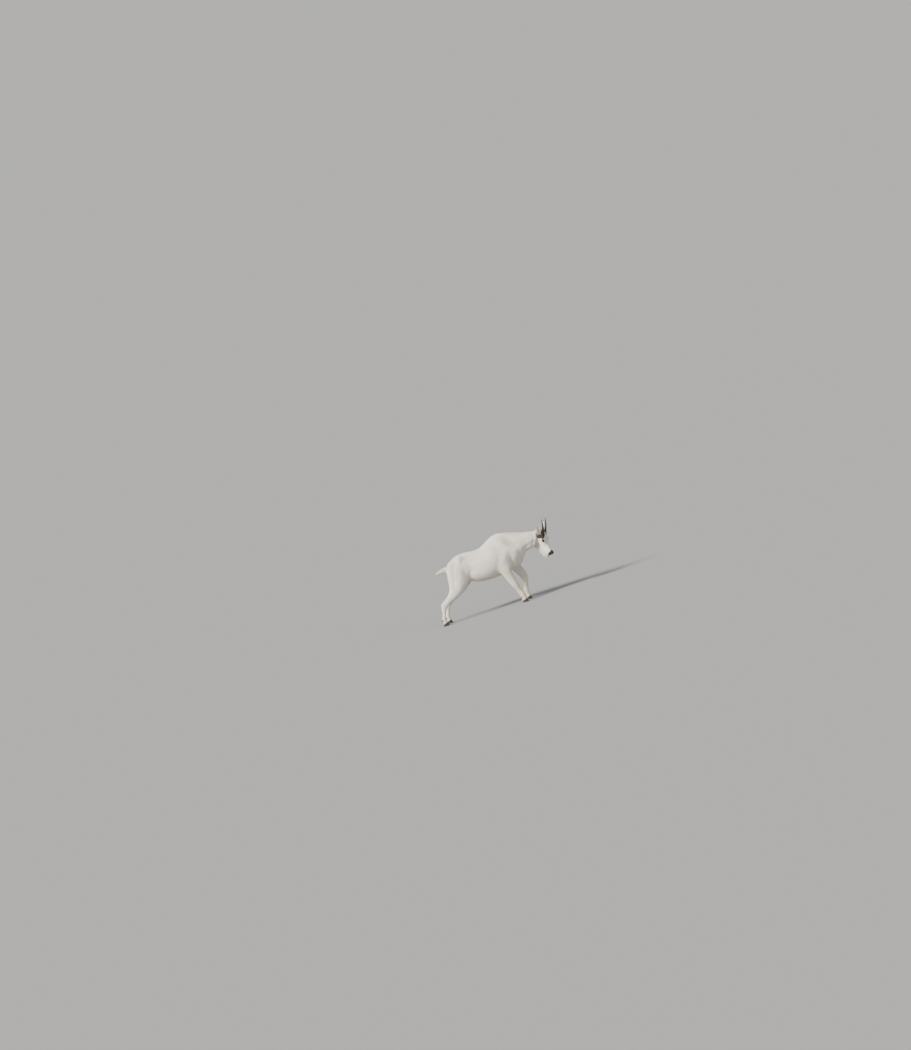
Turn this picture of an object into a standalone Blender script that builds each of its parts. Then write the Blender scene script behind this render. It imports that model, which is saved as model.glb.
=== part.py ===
# Mountain goat, life size, standing still with its head lowered and turned a little to its right.
# Metres, +Z up, floor at z = 0. The goat faces +X and its left side is +Y.
# Heights and lengths below are first drawn with x = 0 at the right hind hoof, then the whole goat
# is moved so that the middle of its footprint box lies at the origin.

import math
import random

import bmesh
import bpy
from mathutils import Matrix, Vector
from mathutils.bvhtree import BVHTree

# Fineness of the modelling
GAP = 0.0003
FINEST = 0.00003
BODY_VOXEL = 0.0075
HEAD_VOXEL = 0.0035
BODY_TRIANGLES = 4700
HEAD_TRIANGLES = 4900
SECTION_POINTS = 32
CURVE_STEPS = 4
BODY_SMOOTHING = 4
BROAD_SMOOTHING = 26
HEAD_SMOOTHING = 9
LEG_TOP = 0.30

# Stance
FORE_HOOF_Y = 0.088
HIND_HOOF_Y = 0.086
LEFT_HIND_LEAD = 0.045
RIGHT_FORE_TOE = 0.9270
LEFT_FORE_TOE = 0.9740
RIGHT_HIND_TOE = 0.0450

# Head: how far it hangs below the level, how far it turns to the right, and the top of its forehead
HEAD_DROOP = math.radians(74)
HEAD_TURN = math.radians(-30)
HEAD_PLACE = Vector((1.277, -0.035, 0.704))

# Head features in the head's own axes: x from poll to nose, y to the left, z to the forehead
EYE_PLACE = Vector((0.124, 0.0425, -0.034))
EYE_RADIUS = 0.0145
EYE_GAZE = Vector((0.28, 0.94, 0.12)).normalized()
EYE_OPENING = Vector((0.0118, 0.0072))
ORBIT_RADIUS = 0.0180
HORN_BASE = Vector((0.068, 0.025, -0.012))
HORN_MIDDLE = Vector((-0.006, 0.034, 0.043))
HORN_TIP = Vector((-0.080, 0.046, 0.078))
HORN_RADIUS = 0.0155
HORN_TIP_RADIUS = 0.0018
EAR_BASE = Vector((0.050, 0.046, -0.036))
EAR_TIP = Vector((-0.047, 0.082, 0.016))
EAR_HALF_WIDTH = 0.0215
EAR_THICKNESS = 0.0035
MOUTH_HEIGHT = -0.0765
MOUTH_CORNER = 0.234
MOUTH_GROOVE = 0.0017
MOUTH_RISE = 0.004
NOSTRIL_PLACE = Vector((0.2965, 0.0135, -0.047))
NOSTRIL_HALF = Vector((0.0100, 0.0034, 0.0056))

# Hooves: two claws a foot
CLAW_LENGTH = 0.066
CLAW_TOP_LENGTH = 0.052
CLAW_WIDTH = 0.0245
CLAW_FRONT_HEIGHT = 0.040
CLAW_REAR_HEIGHT = 0.025
CLAW_SPLAY = 0.05
CLAW_SPACING = 0.0262
DEWCLAW_LENGTH = 0.020
DEWCLAW_RADIUS = 0.0075
DEWCLAW_SPACING = 0.027

# Trunk and neck sections: top x, top z, bottom x, bottom z, half width, place of the widest level
# from top to bottom, power of the upper curve, power of the lower curve, y
TRUNK = (
    (0.168, 0.588, 0.166, 0.530, 0.030, 0.50, 2.0, 2.0, 0.0),
    (0.205, 0.606, 0.190, 0.450, 0.072, 0.45, 1.9, 2.0, 0.0),
    (0.250, 0.651, 0.240, 0.405, 0.096, 0.42, 1.8, 2.0, 0.0),
    (0.310, 0.684, 0.310, 0.385, 0.106, 0.42, 1.8, 2.0, 0.0),
    (0.390, 0.694, 0.390, 0.371, 0.108, 0.46, 1.8, 2.0, 0.0),
    (0.477, 0.688, 0.480, 0.343, 0.118, 0.52, 1.8, 2.1, 0.0),
    (0.560, 0.688, 0.560, 0.334, 0.129, 0.55, 1.8, 2.1, 0.0),
    (0.640, 0.724, 0.640, 0.331, 0.134, 0.56, 1.7, 2.1, 0.0),
    (0.710, 0.767, 0.710, 0.338, 0.131, 0.58, 1.6, 2.0, 0.0),
    (0.780, 0.790, 0.780, 0.350, 0.123, 0.58, 1.5, 1.9, 0.0),
    (0.850, 0.784, 0.855, 0.362, 0.112, 0.58, 1.5, 1.8, 0.0),
    (0.912, 0.768, 0.930, 0.374, 0.099, 0.58, 1.6, 1.8, 0.0),
    (0.962, 0.753, 0.985, 0.416, 0.088, 0.56, 1.7, 1.9, 0.0),
    (1.003, 0.740, 1.020, 0.468, 0.080, 0.54, 1.8, 1.9, 0.0),
    (1.048, 0.726, 1.056, 0.508, 0.072, 0.52, 1.8, 2.0, -0.001),
    (1.100, 0.713, 1.095, 0.516, 0.066, 0.50, 1.9, 2.0, -0.004),
    (1.150, 0.702, 1.130, 0.522, 0.061, 0.50, 1.9, 2.0, -0.008),
    (1.200, 0.691, 1.172, 0.552, 0.054, 0.50, 2.0, 2.0, -0.013),
    (1.240, 0.672, 1.208, 0.590, 0.040, 0.50, 2.0, 2.0, -0.018),
)

# Leg sections: front x, front z, rear x, rear z, half width, y outward from the middle
RIGHT_FORELEG = (
    (0.885, 0.535, 0.745, 0.545, 0.030, 0.082),
    (0.862, 0.462, 0.712, 0.462, 0.036, 0.088),
    (0.848, 0.395, 0.719, 0.392, 0.037, 0.090),
    (0.849, 0.341, 0.737, 0.334, 0.035, 0.089),
    (0.859, 0.280, 0.765, 0.272, 0.031, 0.088),
    (0.872, 0.222, 0.792, 0.210, 0.029, 0.088),
    (0.882, 0.168, 0.822, 0.156, 0.023, 0.088),
    (0.896, 0.132, 0.835, 0.118, 0.021, 0.088),
    (0.912, 0.096, 0.845, 0.084, 0.025, 0.088),
    (0.914, 0.064, 0.856, 0.054, 0.024, 0.088),
    (0.913, 0.040, 0.861, 0.026, 0.0255, 0.088),
    (0.916, 0.012, 0.860, -0.002, 0.0260, 0.088),
)
LEFT_FORELEG = (
    (0.955, 0.550, 0.815, 0.540, 0.030, 0.082),
    (0.935, 0.470, 0.795, 0.462, 0.036, 0.088),
    (0.945, 0.408, 0.818, 0.388, 0.037, 0.090),
    (0.967, 0.352, 0.858, 0.326, 0.035, 0.089),
    (0.985, 0.300, 0.893, 0.278, 0.031, 0.088),
    (0.991, 0.248, 0.914, 0.238, 0.029, 0.088),
    (0.979, 0.184, 0.916, 0.182, 0.023, 0.088),
    (0.968, 0.136, 0.907, 0.140, 0.021, 0.088),
    (0.962, 0.094, 0.896, 0.098, 0.025, 0.088),
    (0.961, 0.062, 0.903, 0.056, 0.024, 0.088),
    (0.960, 0.040, 0.908, 0.026, 0.0255, 0.088),
    (0.963, 0.012, 0.907, -0.002, 0.0260, 0.088),
)
HIND_LEG = (
    (0.350, 0.610, 0.195, 0.585, 0.045, 0.058),
    (0.388, 0.510, 0.168, 0.535, 0.052, 0.066),
    (0.392, 0.430, 0.158, 0.470, 0.052, 0.073),
    (0.374, 0.373, 0.150, 0.395, 0.046, 0.079),
    (0.312, 0.328, 0.138, 0.350, 0.040, 0.083),
    (0.236, 0.272, 0.112, 0.310, 0.034, 0.085),
    (0.152, 0.233, 0.080, 0.283, 0.028, 0.086),
    (0.098, 0.204, 0.040, 0.255, 0.025, 0.086),
    (0.070, 0.178, 0.012, 0.230, 0.024, 0.086),
    (0.050, 0.148, 0.006, 0.178, 0.020, 0.086),
    (0.037, 0.118, -0.003, 0.126, 0.018, 0.086),
    (0.027, 0.088, -0.021, 0.080, 0.022, 0.086),
    (0.029, 0.060, -0.018, 0.048, 0.022, 0.086),
    (0.031, 0.040, -0.019, 0.026, 0.0250, 0.086),
    (0.033, 0.012, -0.020, -0.002, 0.0260, 0.086),
)
TAIL = (
    (0.230, 0.600, 0.222, 0.560, 0.020, 0.0),
    (0.180, 0.597, 0.176, 0.553, 0.019, 0.0),
    (0.140, 0.588, 0.140, 0.545, 0.016, 0.0),
    (0.105, 0.578, 0.108, 0.549, 0.011, 0.0),
    (0.071, 0.563, 0.073, 0.558, 0.003, 0.0),
)

# Muscles and joints that show through the coat: centre, half sizes along, across and sideways,
# and the lean of the long axis from upright, forward being positive
BOTH_SIDES = (
    (Vector((0.858, 0.060, 0.615)), Vector((0.066, 0.036, 0.125)), -24),
    (Vector((0.350, 0.066, 0.640)), Vector((0.045, 0.030, 0.034)), 0),
    (Vector((0.268, 0.060, 0.545)), Vector((0.085, 0.046, 0.105)), -12),
    (Vector((0.205, 0.066, 0.460)), Vector((0.046, 0.038, 0.115)), 4),
    (Vector((0.335, 0.074, 0.440)), Vector((0.052, 0.040, 0.080)), -14),
)
RIGHT_ARM = (
    (Vector((0.798, 0.084, 0.520)), Vector((0.058, 0.038, 0.120)), 26),
    (Vector((0.925, 0.066, 0.548)), Vector((0.050, 0.036, 0.060)), 20),
    (Vector((0.738, 0.090, 0.440)), Vector((0.026, 0.022, 0.034)), 20),
)
LEFT_ARM = (
    (Vector((0.872, 0.084, 0.520)), Vector((0.058, 0.038, 0.120)), 18),
    (Vector((0.945, 0.066, 0.548)), Vector((0.050, 0.036, 0.060)), 20),
    (Vector((0.818, 0.090, 0.440)), Vector((0.026, 0.022, 0.034)), 20),
)

# Head sections in the head's own axes: x, top z, bottom z, half width, widest, upper and lower power
SKULL = (
    (-0.012, -0.030, -0.088, 0.030, 0.45, 2.0, 2.0),
    (0.010, -0.014, -0.108, 0.043, 0.42, 2.1, 2.0),
    (0.040, -0.004, -0.130, 0.049, 0.38, 2.3, 1.9),
    (0.075, -0.001, -0.142, 0.050, 0.34, 2.4, 1.9),
    (0.110, -0.006, -0.140, 0.049, 0.31, 2.4, 1.9),
    (0.140, -0.017, -0.131, 0.041, 0.32, 2.2, 2.0),
    (0.178, -0.026, -0.118, 0.032, 0.38, 2.0, 2.1),
    (0.215, -0.029, -0.108, 0.0275, 0.44, 2.0, 2.2),
    (0.248, -0.029, -0.102, 0.0265, 0.50, 2.1, 2.3),
    (0.275, -0.031, -0.098, 0.0255, 0.50, 2.2, 2.2),
    (0.291, -0.039, -0.090, 0.020, 0.48, 2.1, 2.0),
)
# Rounded forms on the skull: centre, half sizes; those off the middle come in pairs
HEAD_FORMS = (
    (Vector((0.082, 0.024, -0.098)), Vector((0.050, 0.020, 0.042))),
    (Vector((0.116, 0.034, -0.025)), Vector((0.030, 0.0165, 0.015))),
    (EYE_PLACE, Vector((ORBIT_RADIUS, ORBIT_RADIUS, ORBIT_RADIUS))),
    (Vector((0.152, 0.024, -0.062)), Vector((0.044, 0.015, 0.017))),
    (Vector((0.281, 0.011, -0.046)), Vector((0.019, 0.014, 0.017))),
    (Vector((0.276, 0.010, -0.067)), Vector((0.024, 0.016, 0.011))),
    (Vector((0.268, 0.006, -0.090)), Vector((0.024, 0.014, 0.011))),
    (Vector((0.046, 0.034, -0.036)), Vector((0.026, 0.018, 0.024))),
    (Vector((0.068, 0.022, -0.012)), Vector((0.026, 0.021, 0.018))),
)
# Beard: the full flesh and hair under its locks, as x, upper z, lower z, half width along the jaw
BEARD_CORE = (
    (0.012, -0.096, -0.130, 0.012),
    (0.060, -0.110, -0.158, 0.015),
    (0.105, -0.110, -0.164, 0.015),
    (0.160, -0.100, -0.155, 0.013),
    (0.212, -0.094, -0.138, 0.011),
    (0.245, -0.090, -0.124, 0.009),
    (0.262, -0.096, -0.112, 0.005),
)
# The line that the tips of the beard reach, as x and z
BEARD_EDGE = (
    (0.020, -0.156), (0.060, -0.184), (0.105, -0.192), (0.160, -0.188), (0.212, -0.177),
    (0.250, -0.164), (0.290, -0.146),
)
# Beard locks: how many along the jaw in each row, where rows stand beside the middle, their sizes
BEARD_ROWS = ((0, 9), (-1, 8), (1, 8))
BEARD_ROW_SPACING = 0.0085
BEARD_START = 0.026
BEARD_END = 0.243
LOCK_REACH = 0.046
LOCK_ROOT = 0.013
LOCK_WIDTH = 0.024
LOCK_THICKNESS = 0.0062

# Where the goat is parted: each plane has a point and the direction away from what is parted off
NECK_CUT = (Vector((0.975, 0, 0.62)), Vector((-0.965, 0, -0.263)))
HEAD_CUT = (Vector((1.182, 0, 0.615)), Vector((-0.90, 0.10, 0.42)))
TAIL_CUTS = (
    (Vector((0.163, 0, 0)), Vector((1, 0, 0))),
    (Vector((0, 0, 0.535)), Vector((0, 0, -1))),
)
FORELEG_SLOPE = (Vector((0, 0.045, 0.335)), Vector((0, -0.70, 0.71)))
FORELEG_REAR = (Vector((0.700, 0, 0.40)), Vector((-1, 0, 0)))
HIND_LEG_SLOPE = (Vector((0, 0.032, 0.362)), Vector((0, -0.87, 0.50)))
HIND_LEG_FRONT = (Vector((0.398, 0, 0.370)), Vector((0.93, 0, 0.37)))
RIGHT_KNEE = (Vector((0.838, 0, 0.206)), Vector((-0.25, 0, 0.97)))
LEFT_KNEE = (Vector((0.950, 0, 0.228)), Vector((0.0, 0, 1.0)))
HOCK = (Vector((0.052, 0, 0.192)), Vector((0.62, 0, 0.78)))
SIDES = ((-1, "right"), (1, "left"))

WHITE_COAT = (0.86, 0.82, 0.74)
EAR_COAT = (0.88, 0.86, 0.82)
DARK_EYE = (0.020, 0.014, 0.010)
HORN_BLACK = (0.028, 0.025, 0.023)
HOOF_GREY = (0.075, 0.065, 0.055)


def clear_scene():
    """Empties the scene that the script starts in."""
    for old in list(bpy.data.objects):
        bpy.data.objects.remove(old)


def new_collection(name):
    """Makes a collection in the scene."""
    made = bpy.data.collections.new(name)
    bpy.context.scene.collection.children.link(made)
    return made


def blend_rows(rows, steps):
    """Rows of numbers with more rows between each two, along a Catmull-Rom curve."""
    out = []
    last = len(rows) - 1
    for i in range(last):
        a, b, c, d = rows[max(i - 1, 0)], rows[i], rows[i + 1], rows[min(i + 2, last)]
        for step in range(steps):
            t = step / steps
            out.append(
                tuple(
                    0.5 * (2 * q + (r - p) * t + (2 * p - 5 * q + 4 * r - s) * t * t
                           + (3 * q - p - 3 * r + s) * t ** 3)
                    for p, q, r, s in zip(a, b, c, d)
                )
            )
    out.append(tuple(rows[-1]))
    return out


def section(top, bottom, half_width, widest=0.5, crest=2.0, keel=2.0, count=SECTION_POINTS):
    """One closed ring from a top point to a bottom point, widest at a level between them."""
    middle = top.lerp(bottom, widest)
    points = []
    for i in range(count):
        angle = 2 * math.pi * i / count
        upper = math.cos(angle) >= 0
        reach = (top if upper else bottom) - middle
        power = crest if upper else keel
        along = abs(math.cos(angle)) ** (2 / power)
        across = math.copysign(abs(math.sin(angle)) ** (2 / power), math.sin(angle))
        points.append(middle + reach * along + Vector((0, half_width * across, 0)))
    return points


def loft(rings):
    """A closed shape through rings of the same number of points."""
    shape = bmesh.new()
    loops = [[shape.verts.new(point) for point in ring] for ring in rings]
    count = len(loops[0])
    for low, high in zip(loops, loops[1:]):
        for i in range(count):
            j = (i + 1) % count
            shape.faces.new((low[i], low[j], high[j], high[i]))
    shape.faces.new(list(reversed(loops[0])))
    shape.faces.new(loops[-1])
    bmesh.ops.recalc_face_normals(shape, faces=shape.faces)
    return shape


def ellipsoid(centre, half_sizes, turn=Matrix.Identity(3), fineness=3):
    """An egg shape about a centre, turned by a matrix."""
    shape = bmesh.new()
    bmesh.ops.create_icosphere(shape, subdivisions=fineness, radius=1)
    place = Matrix.Translation(centre) @ turn.to_4x4() @ Matrix.Diagonal((*half_sizes, 1))
    shape.transform(place)
    return shape


def to_object(name, shapes, group):
    """One object that holds the given shapes side by side."""
    mesh = bpy.data.meshes.new(name)
    whole = bmesh.new()
    for shape in shapes:
        piece = bpy.data.meshes.new("piece")
        shape.to_mesh(piece)
        shape.free()
        whole.from_mesh(piece)
        bpy.data.meshes.remove(piece)
    whole.to_mesh(mesh)
    whole.free()
    made = bpy.data.objects.new(name, mesh)
    group.objects.link(made)
    return made


def settle(thing):
    """Puts the result of an object's modifiers in its mesh and removes the modifiers."""
    bpy.context.view_layer.update()
    seen = thing.evaluated_get(bpy.context.evaluated_depsgraph_get())
    mesh = bpy.data.meshes.new_from_object(seen)
    thing.modifiers.clear()
    old = thing.data
    thing.data = mesh
    mesh.name = thing.name
    bpy.data.meshes.remove(old)


def keep_largest(thing):
    """Leaves only the largest closed surface of an object."""
    shape = bmesh.new()
    shape.from_mesh(thing.data)
    unseen = set(shape.verts)
    bodies = []
    while unseen:
        front = [unseen.pop()]
        body = list(front)
        while front:
            reached = {e.other_vert(v) for v in front for e in v.link_edges} & unseen
            unseen -= reached
            body.extend(reached)
            front = list(reached)
        bodies.append(body)
    bodies.sort(key=len, reverse=True)
    bmesh.ops.delete(shape, geom=[v for body in bodies[1:] for v in body], context="VERTS")
    shape.to_mesh(thing.data)
    shape.free()


def combine(thing, other, operation, solver="EXACT"):
    """Joins, cuts or intersects an object with another and keeps the largest surface."""
    change = thing.modifiers.new("combine", "BOOLEAN")
    change.operation = operation
    change.solver = solver
    change.object = other
    settle(thing)
    keep_largest(thing)


def skin_over(thing, voxel, smoothing, triangles, broad=None):
    """Fuses overlapping closed shapes into one skin, softens it and thins it to a count of triangles."""
    fuse = thing.modifiers.new("fuse", "REMESH")
    fuse.mode = "VOXEL"
    fuse.voxel_size = voxel
    settle(thing)
    keep_largest(thing)
    if broad:
        weigh(thing, broad)
        spread = thing.modifiers.new("spread", "SMOOTH")
        spread.factor = 0.5
        spread.iterations = BROAD_SMOOTHING
        spread.vertex_group = "broad"
    soften = thing.modifiers.new("soften", "SMOOTH")
    soften.factor = 0.5
    soften.iterations = smoothing
    settle(thing)
    thin = thing.modifiers.new("thin", "DECIMATE")
    thin.ratio = triangles / (2 * len(thing.data.polygons))
    settle(thing)
    keep_largest(thing)


def weigh(thing, share):
    """Gives each point of an object its share of the broad smoothing."""
    group = thing.vertex_groups.new(name="broad")
    for vertex in thing.data.vertices:
        group.add([vertex.index], share(vertex.co), "REPLACE")


def trunk_share(point):
    """Full smoothing on the trunk and upper legs, none on the slim lower legs, tail and head."""
    up = min(1, max(0, (point.z - LEG_TOP) / 0.08))
    ahead = min(1, max(0, (1.16 - point.x) / 0.06))
    behind = min(1, max(0, (point.x - 0.15) / 0.03))
    return up * ahead * behind


def region(planes, grow, group):
    """A large block cut back to the inner side of each plane, which moves outward by grow."""
    shape = bmesh.new()
    bmesh.ops.create_cube(shape, size=6)
    for point, facing in planes:
        direction = facing.normalized()
        cut = bmesh.ops.bisect_plane(
            shape,
            geom=shape.verts[:] + shape.edges[:] + shape.faces[:],
            plane_co=point + direction * grow,
            plane_no=direction,
            clear_outer=True,
        )
        rim = [e for e in cut["geom_cut"] if isinstance(e, bmesh.types.BMEdge)]
        bmesh.ops.edgeloop_fill(shape, edges=rim)
    bmesh.ops.recalc_face_normals(shape, faces=shape.faces)
    made = to_object("region", [shape], group)
    made.hide_render = True
    made.display_type = "WIRE"
    return made


def part_off(whole, name, planes, group, cutters):
    """Takes the part of a body inside the planes away as an object of its own, with a thin gap."""
    taken = whole.copy()
    taken.data = whole.data.copy()
    taken.name = name
    group.objects.link(taken)
    inside = region(planes, 0, cutters)
    combine(taken, inside, "INTERSECT")
    around = region(planes, GAP, cutters)
    combine(whole, around, "DIFFERENCE")
    bpy.data.objects.remove(inside)
    bpy.data.objects.remove(around)
    return taken


def mirrored(vector, side):
    """The vector on one side of the middle plane."""
    return Vector((vector.x, side * vector.y, vector.z))


def leg_shape(rows, side, lead=0.0):
    """A leg through its sections on one side, moved forward by lead."""
    rings = []
    for fx, fz, rx, rz, half_width, y in blend_rows(rows, CURVE_STEPS):
        front = Vector((fx + lead, side * y, fz))
        rear = Vector((rx + lead, side * y, rz))
        rings.append(section(front, rear, half_width))
    return loft(rings)


def trunk_shape():
    """Rump, barrel, chest and neck in one loft."""
    rings = []
    for tx, tz, bx, bz, half_width, widest, crest, keel, y in blend_rows(TRUNK, CURVE_STEPS):
        rings.append(section(Vector((tx, y, tz)), Vector((bx, y, bz)), half_width, widest, crest, keel))
    return loft(rings)


def muscle_shapes():
    """The muscles and joints under the coat on both sides."""
    shapes = []
    for side, arm in ((-1, RIGHT_ARM), (1, LEFT_ARM)):
        for centre, half_sizes, lean in BOTH_SIDES + arm:
            turn = Matrix.Rotation(math.radians(lean), 3, "Y")
            shapes.append(ellipsoid(mirrored(centre, side), half_sizes, turn))
    return shapes


def body_shapes():
    """All shapes of the body but the head."""
    return [
        trunk_shape(),
        leg_shape(TAIL, 1),
        leg_shape(RIGHT_FORELEG, -1),
        leg_shape(LEFT_FORELEG, 1),
        leg_shape(HIND_LEG, -1),
        leg_shape(HIND_LEG, 1, LEFT_HIND_LEAD),
        *muscle_shapes(),
    ]


def head_frame():
    """The head's own axes in the world, from its droop and turn."""
    along = Vector((math.cos(HEAD_DROOP), 0, -math.sin(HEAD_DROOP)))
    forehead = Vector((math.sin(HEAD_DROOP), 0, math.cos(HEAD_DROOP)))
    axes = Matrix((along, Vector((0, 1, 0)), forehead)).transposed()
    turned = Matrix.Rotation(HEAD_TURN, 3, "Z") @ axes
    return Matrix.Translation(HEAD_PLACE) @ turned.to_4x4()


def head_shapes():
    """Skull, cheeks, brows, muzzle, lips and beard, placed in the world."""
    rings = []
    for x, top, bottom, half_width, widest, crest, keel in blend_rows(SKULL, CURVE_STEPS):
        rings.append(section(Vector((x, 0, top)), Vector((x, 0, bottom)), half_width, widest, crest, keel))
    shapes = [loft(rings)]
    for centre, half_sizes in HEAD_FORMS:
        for side in (-1, 1):
            shapes.append(ellipsoid(mirrored(centre, side), half_sizes))
    rings = []
    for x, top, bottom, half_width in blend_rows(BEARD_CORE, CURVE_STEPS):
        rings.append(section(Vector((x, 0, top)), Vector((x, 0, bottom)), half_width))
    shapes.append(loft(rings))
    for shape in shapes:
        shape.transform(head_frame())
    return shapes


def level_of(rows, x, column):
    """The value of a column at x, straight between the rows."""
    for a, b in zip(rows, rows[1:]):
        if x <= b[0]:
            break
    return a[column] + (b[column] - a[column]) * (x - a[0]) / (b[0] - a[0])


def lock_shape(root, tip, bow, width, thickness):
    """A flat lock that widens from its root, bows to one side and tapers to its tip."""
    along = (tip - root).normalized()
    broad = bow.normalized()
    thin = along.cross(broad)
    rings = []
    for t, wide in ((0, 0.70), (0.25, 1.0), (0.5, 0.92), (0.72, 0.66), (0.88, 0.36), (1, 0.07)):
        spine = root.lerp(tip, t) + bow * math.sin(math.pi * t)
        across = broad * width * wide / 2
        above = thin * thickness * (0.30 + 0.70 * wide) / 2 * (1 if t < 1 else 0.3)
        rings.append([spine + across, spine + above, spine - across, spine - above])
    return loft(rings)


def beard_locks():
    """The locks of the beard, in rows along the jaw, each with its own small unevenness."""
    rng = random.Random(7)
    shapes = []
    for row, count in BEARD_ROWS:
        for i in range(count):
            share = (i + (0.5 if row else 0)) / (BEARD_ROWS[0][1] - 1)
            x = BEARD_START + (BEARD_END - BEARD_START) * share + rng.uniform(-0.003, 0.003)
            reach = LOCK_REACH * rng.uniform(0.9, 1.1)
            y = row * BEARD_ROW_SPACING + rng.uniform(-0.0015, 0.0015)
            root = Vector((x, y * 0.75, level_of(BEARD_CORE, x, 2) + LOCK_ROOT))
            edge = level_of(BEARD_EDGE, x + reach, 1) + abs(row) * 0.007 + rng.uniform(-0.003, 0.004)
            tip = Vector((x + reach, y * rng.uniform(0.9, 1.4), edge))
            fall = (tip - root).normalized()
            bow = Vector((-fall.z, 0, fall.x)) * -rng.uniform(0.003, 0.006)
            width = LOCK_WIDTH * rng.uniform(0.85, 1.15)
            shapes.append(lock_shape(root, tip, bow, width, LOCK_THICKNESS))
    for shape in shapes:
        shape.transform(head_frame())
    return shapes


def add_locks(thing, shapes):
    """Joins locks to an object in one step and drops their own objects."""
    locks = new_collection("locks")
    for shape in shapes:
        to_object("lock", [shape], locks)
    join = thing.modifiers.new("join", "BOOLEAN")
    join.operation = "UNION"
    join.solver = "MANIFOLD"
    join.operand_type = "COLLECTION"
    join.collection = locks
    settle(thing)
    for lock in list(locks.objects):
        bpy.data.objects.remove(lock)
    bpy.data.collections.remove(locks)
    keep_largest(thing)


def tube(points, radii, sides=8):
    """A round tube along points, closed at both ends."""
    rings = []
    across = None
    for i, point in enumerate(points):
        ahead = points[min(i + 1, len(points) - 1)] - points[max(i - 1, 0)]
        ahead.normalize()
        if across is None:
            across = ahead.orthogonal().normalized()
        across = (across - ahead * across.dot(ahead)).normalized()
        up = ahead.cross(across)
        ring = []
        for k in range(sides):
            angle = 2 * math.pi * k / sides
            ring.append(point + (across * math.cos(angle) + up * math.sin(angle)) * radii[i])
        rings.append(ring)
    return loft(rings)


def eye_axes(side):
    """Directions at one eye: outward along the gaze, forward to the nose, and up to the forehead."""
    gaze = mirrored(EYE_GAZE, side)
    to_nose = Vector((1, 0, -0.10))
    forward = (to_nose - gaze * gaze.dot(to_nose)).normalized()
    upward = gaze.cross(forward) * -side
    return gaze, forward, upward


def eye_opening(side):
    """A pointed oval bar along the gaze, which opens the lids over the eye."""
    gaze, forward, upward = eye_axes(side)
    centre = mirrored(EYE_PLACE, side)
    half, rise = EYE_OPENING
    rings = []
    for depth, flare in ((EYE_RADIUS * 0.3, 0.9), (EYE_RADIUS * 1.0, 1.0), (EYE_RADIUS * 2.2, 1.25)):
        ring = []
        for i in range(12):
            angle = 2 * math.pi * i / 12
            along = half * math.cos(angle) * flare
            above = rise * math.sin(angle) * abs(math.sin(angle)) ** 0.3 * flare
            ring.append(centre + gaze * depth + forward * along + upward * above)
        rings.append(ring)
    return loft(rings)


def mouth_shape(head):
    """A thin roll that follows the lips round the muzzle, to groove the line of the mouth."""
    frame = head_frame()
    tree = BVHTree.FromObject(head, bpy.context.evaluated_depsgraph_get())
    pivot = MOUTH_CORNER + 0.036
    route = []
    for x in (MOUTH_CORNER, MOUTH_CORNER + 0.012, MOUTH_CORNER + 0.024):
        route.append((x, math.pi / 2))
    for step in range(3, 0, -1):
        route.append((pivot, math.pi / 2 * step / 3))
    points = []
    for x, turn in route:
        points.append(lip_point(tree, frame, x, turn))
    front = lip_point(tree, frame, pivot, 0)
    others = [lip_point(tree, frame, x, -turn) for x, turn in reversed(route)]
    points = points + [front] + others
    return tube(points, [MOUTH_GROOVE] * len(points), 6)


def lip_point(tree, frame, x, turn):
    """The point of the muzzle's surface at the mouth line, seen from x on the middle plane."""
    height = MOUTH_HEIGHT + MOUTH_RISE * (1 - math.cos(turn)) + (MOUTH_CORNER + 0.036 - x) * 0.10
    inner = Vector((x, 0, height))
    outer = inner + Vector((math.cos(turn), math.sin(turn), 0)) * 0.08
    start = frame @ outer
    return tree.ray_cast(start, (frame @ inner - start).normalized())[0]


def nostril_shape(side):
    """A slanted slot in the side of the nose."""
    turn = Matrix.Rotation(math.radians(-38 * side), 3, "Z") @ Matrix.Rotation(math.radians(-25), 3, "Y")
    shape = ellipsoid(mirrored(NOSTRIL_PLACE, side), NOSTRIL_HALF, turn, 2)
    shape.transform(head_frame())
    return shape


def ball(name, centre, radius, group):
    """A round ball."""
    bpy.ops.mesh.primitive_uv_sphere_add(segments=16, ring_count=10, radius=radius, location=centre)
    made = bpy.context.object
    made.name = name
    made.data.name = name
    for old in list(made.users_collection):
        old.objects.unlink(made)
    group.objects.link(made)
    made.data.transform(made.matrix_basis)
    made.matrix_basis = Matrix.Identity(4)
    return made


def use_and_drop(thing, shape, operation, group):
    """Joins a shape to an object or cuts it out."""
    other = to_object("tool", [shape], group)
    combine(thing, other, operation)
    bpy.data.objects.remove(other)


def build_head(goat, cutters):
    """The head at its own fineness, with lids, mouth and nostrils, cut off behind the ears."""
    head = to_object("head", head_shapes() + [trunk_shape()], goat)
    skin_over(head, HEAD_VOXEL, HEAD_SMOOTHING, HEAD_TRIANGLES)
    mouth = mouth_shape(head)
    for side in (-1, 1):
        opening = eye_opening(side)
        opening.transform(head_frame())
        use_and_drop(head, opening, "DIFFERENCE", cutters)
    use_and_drop(head, mouth, "DIFFERENCE", cutters)
    for side in (-1, 1):
        use_and_drop(head, nostril_shape(side), "DIFFERENCE", cutters)
    add_locks(head, beard_locks())
    ahead = region([HEAD_CUT], -GAP / 2, cutters)
    combine(head, ahead, "INTERSECT")
    bpy.data.objects.remove(ahead)
    return head


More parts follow.
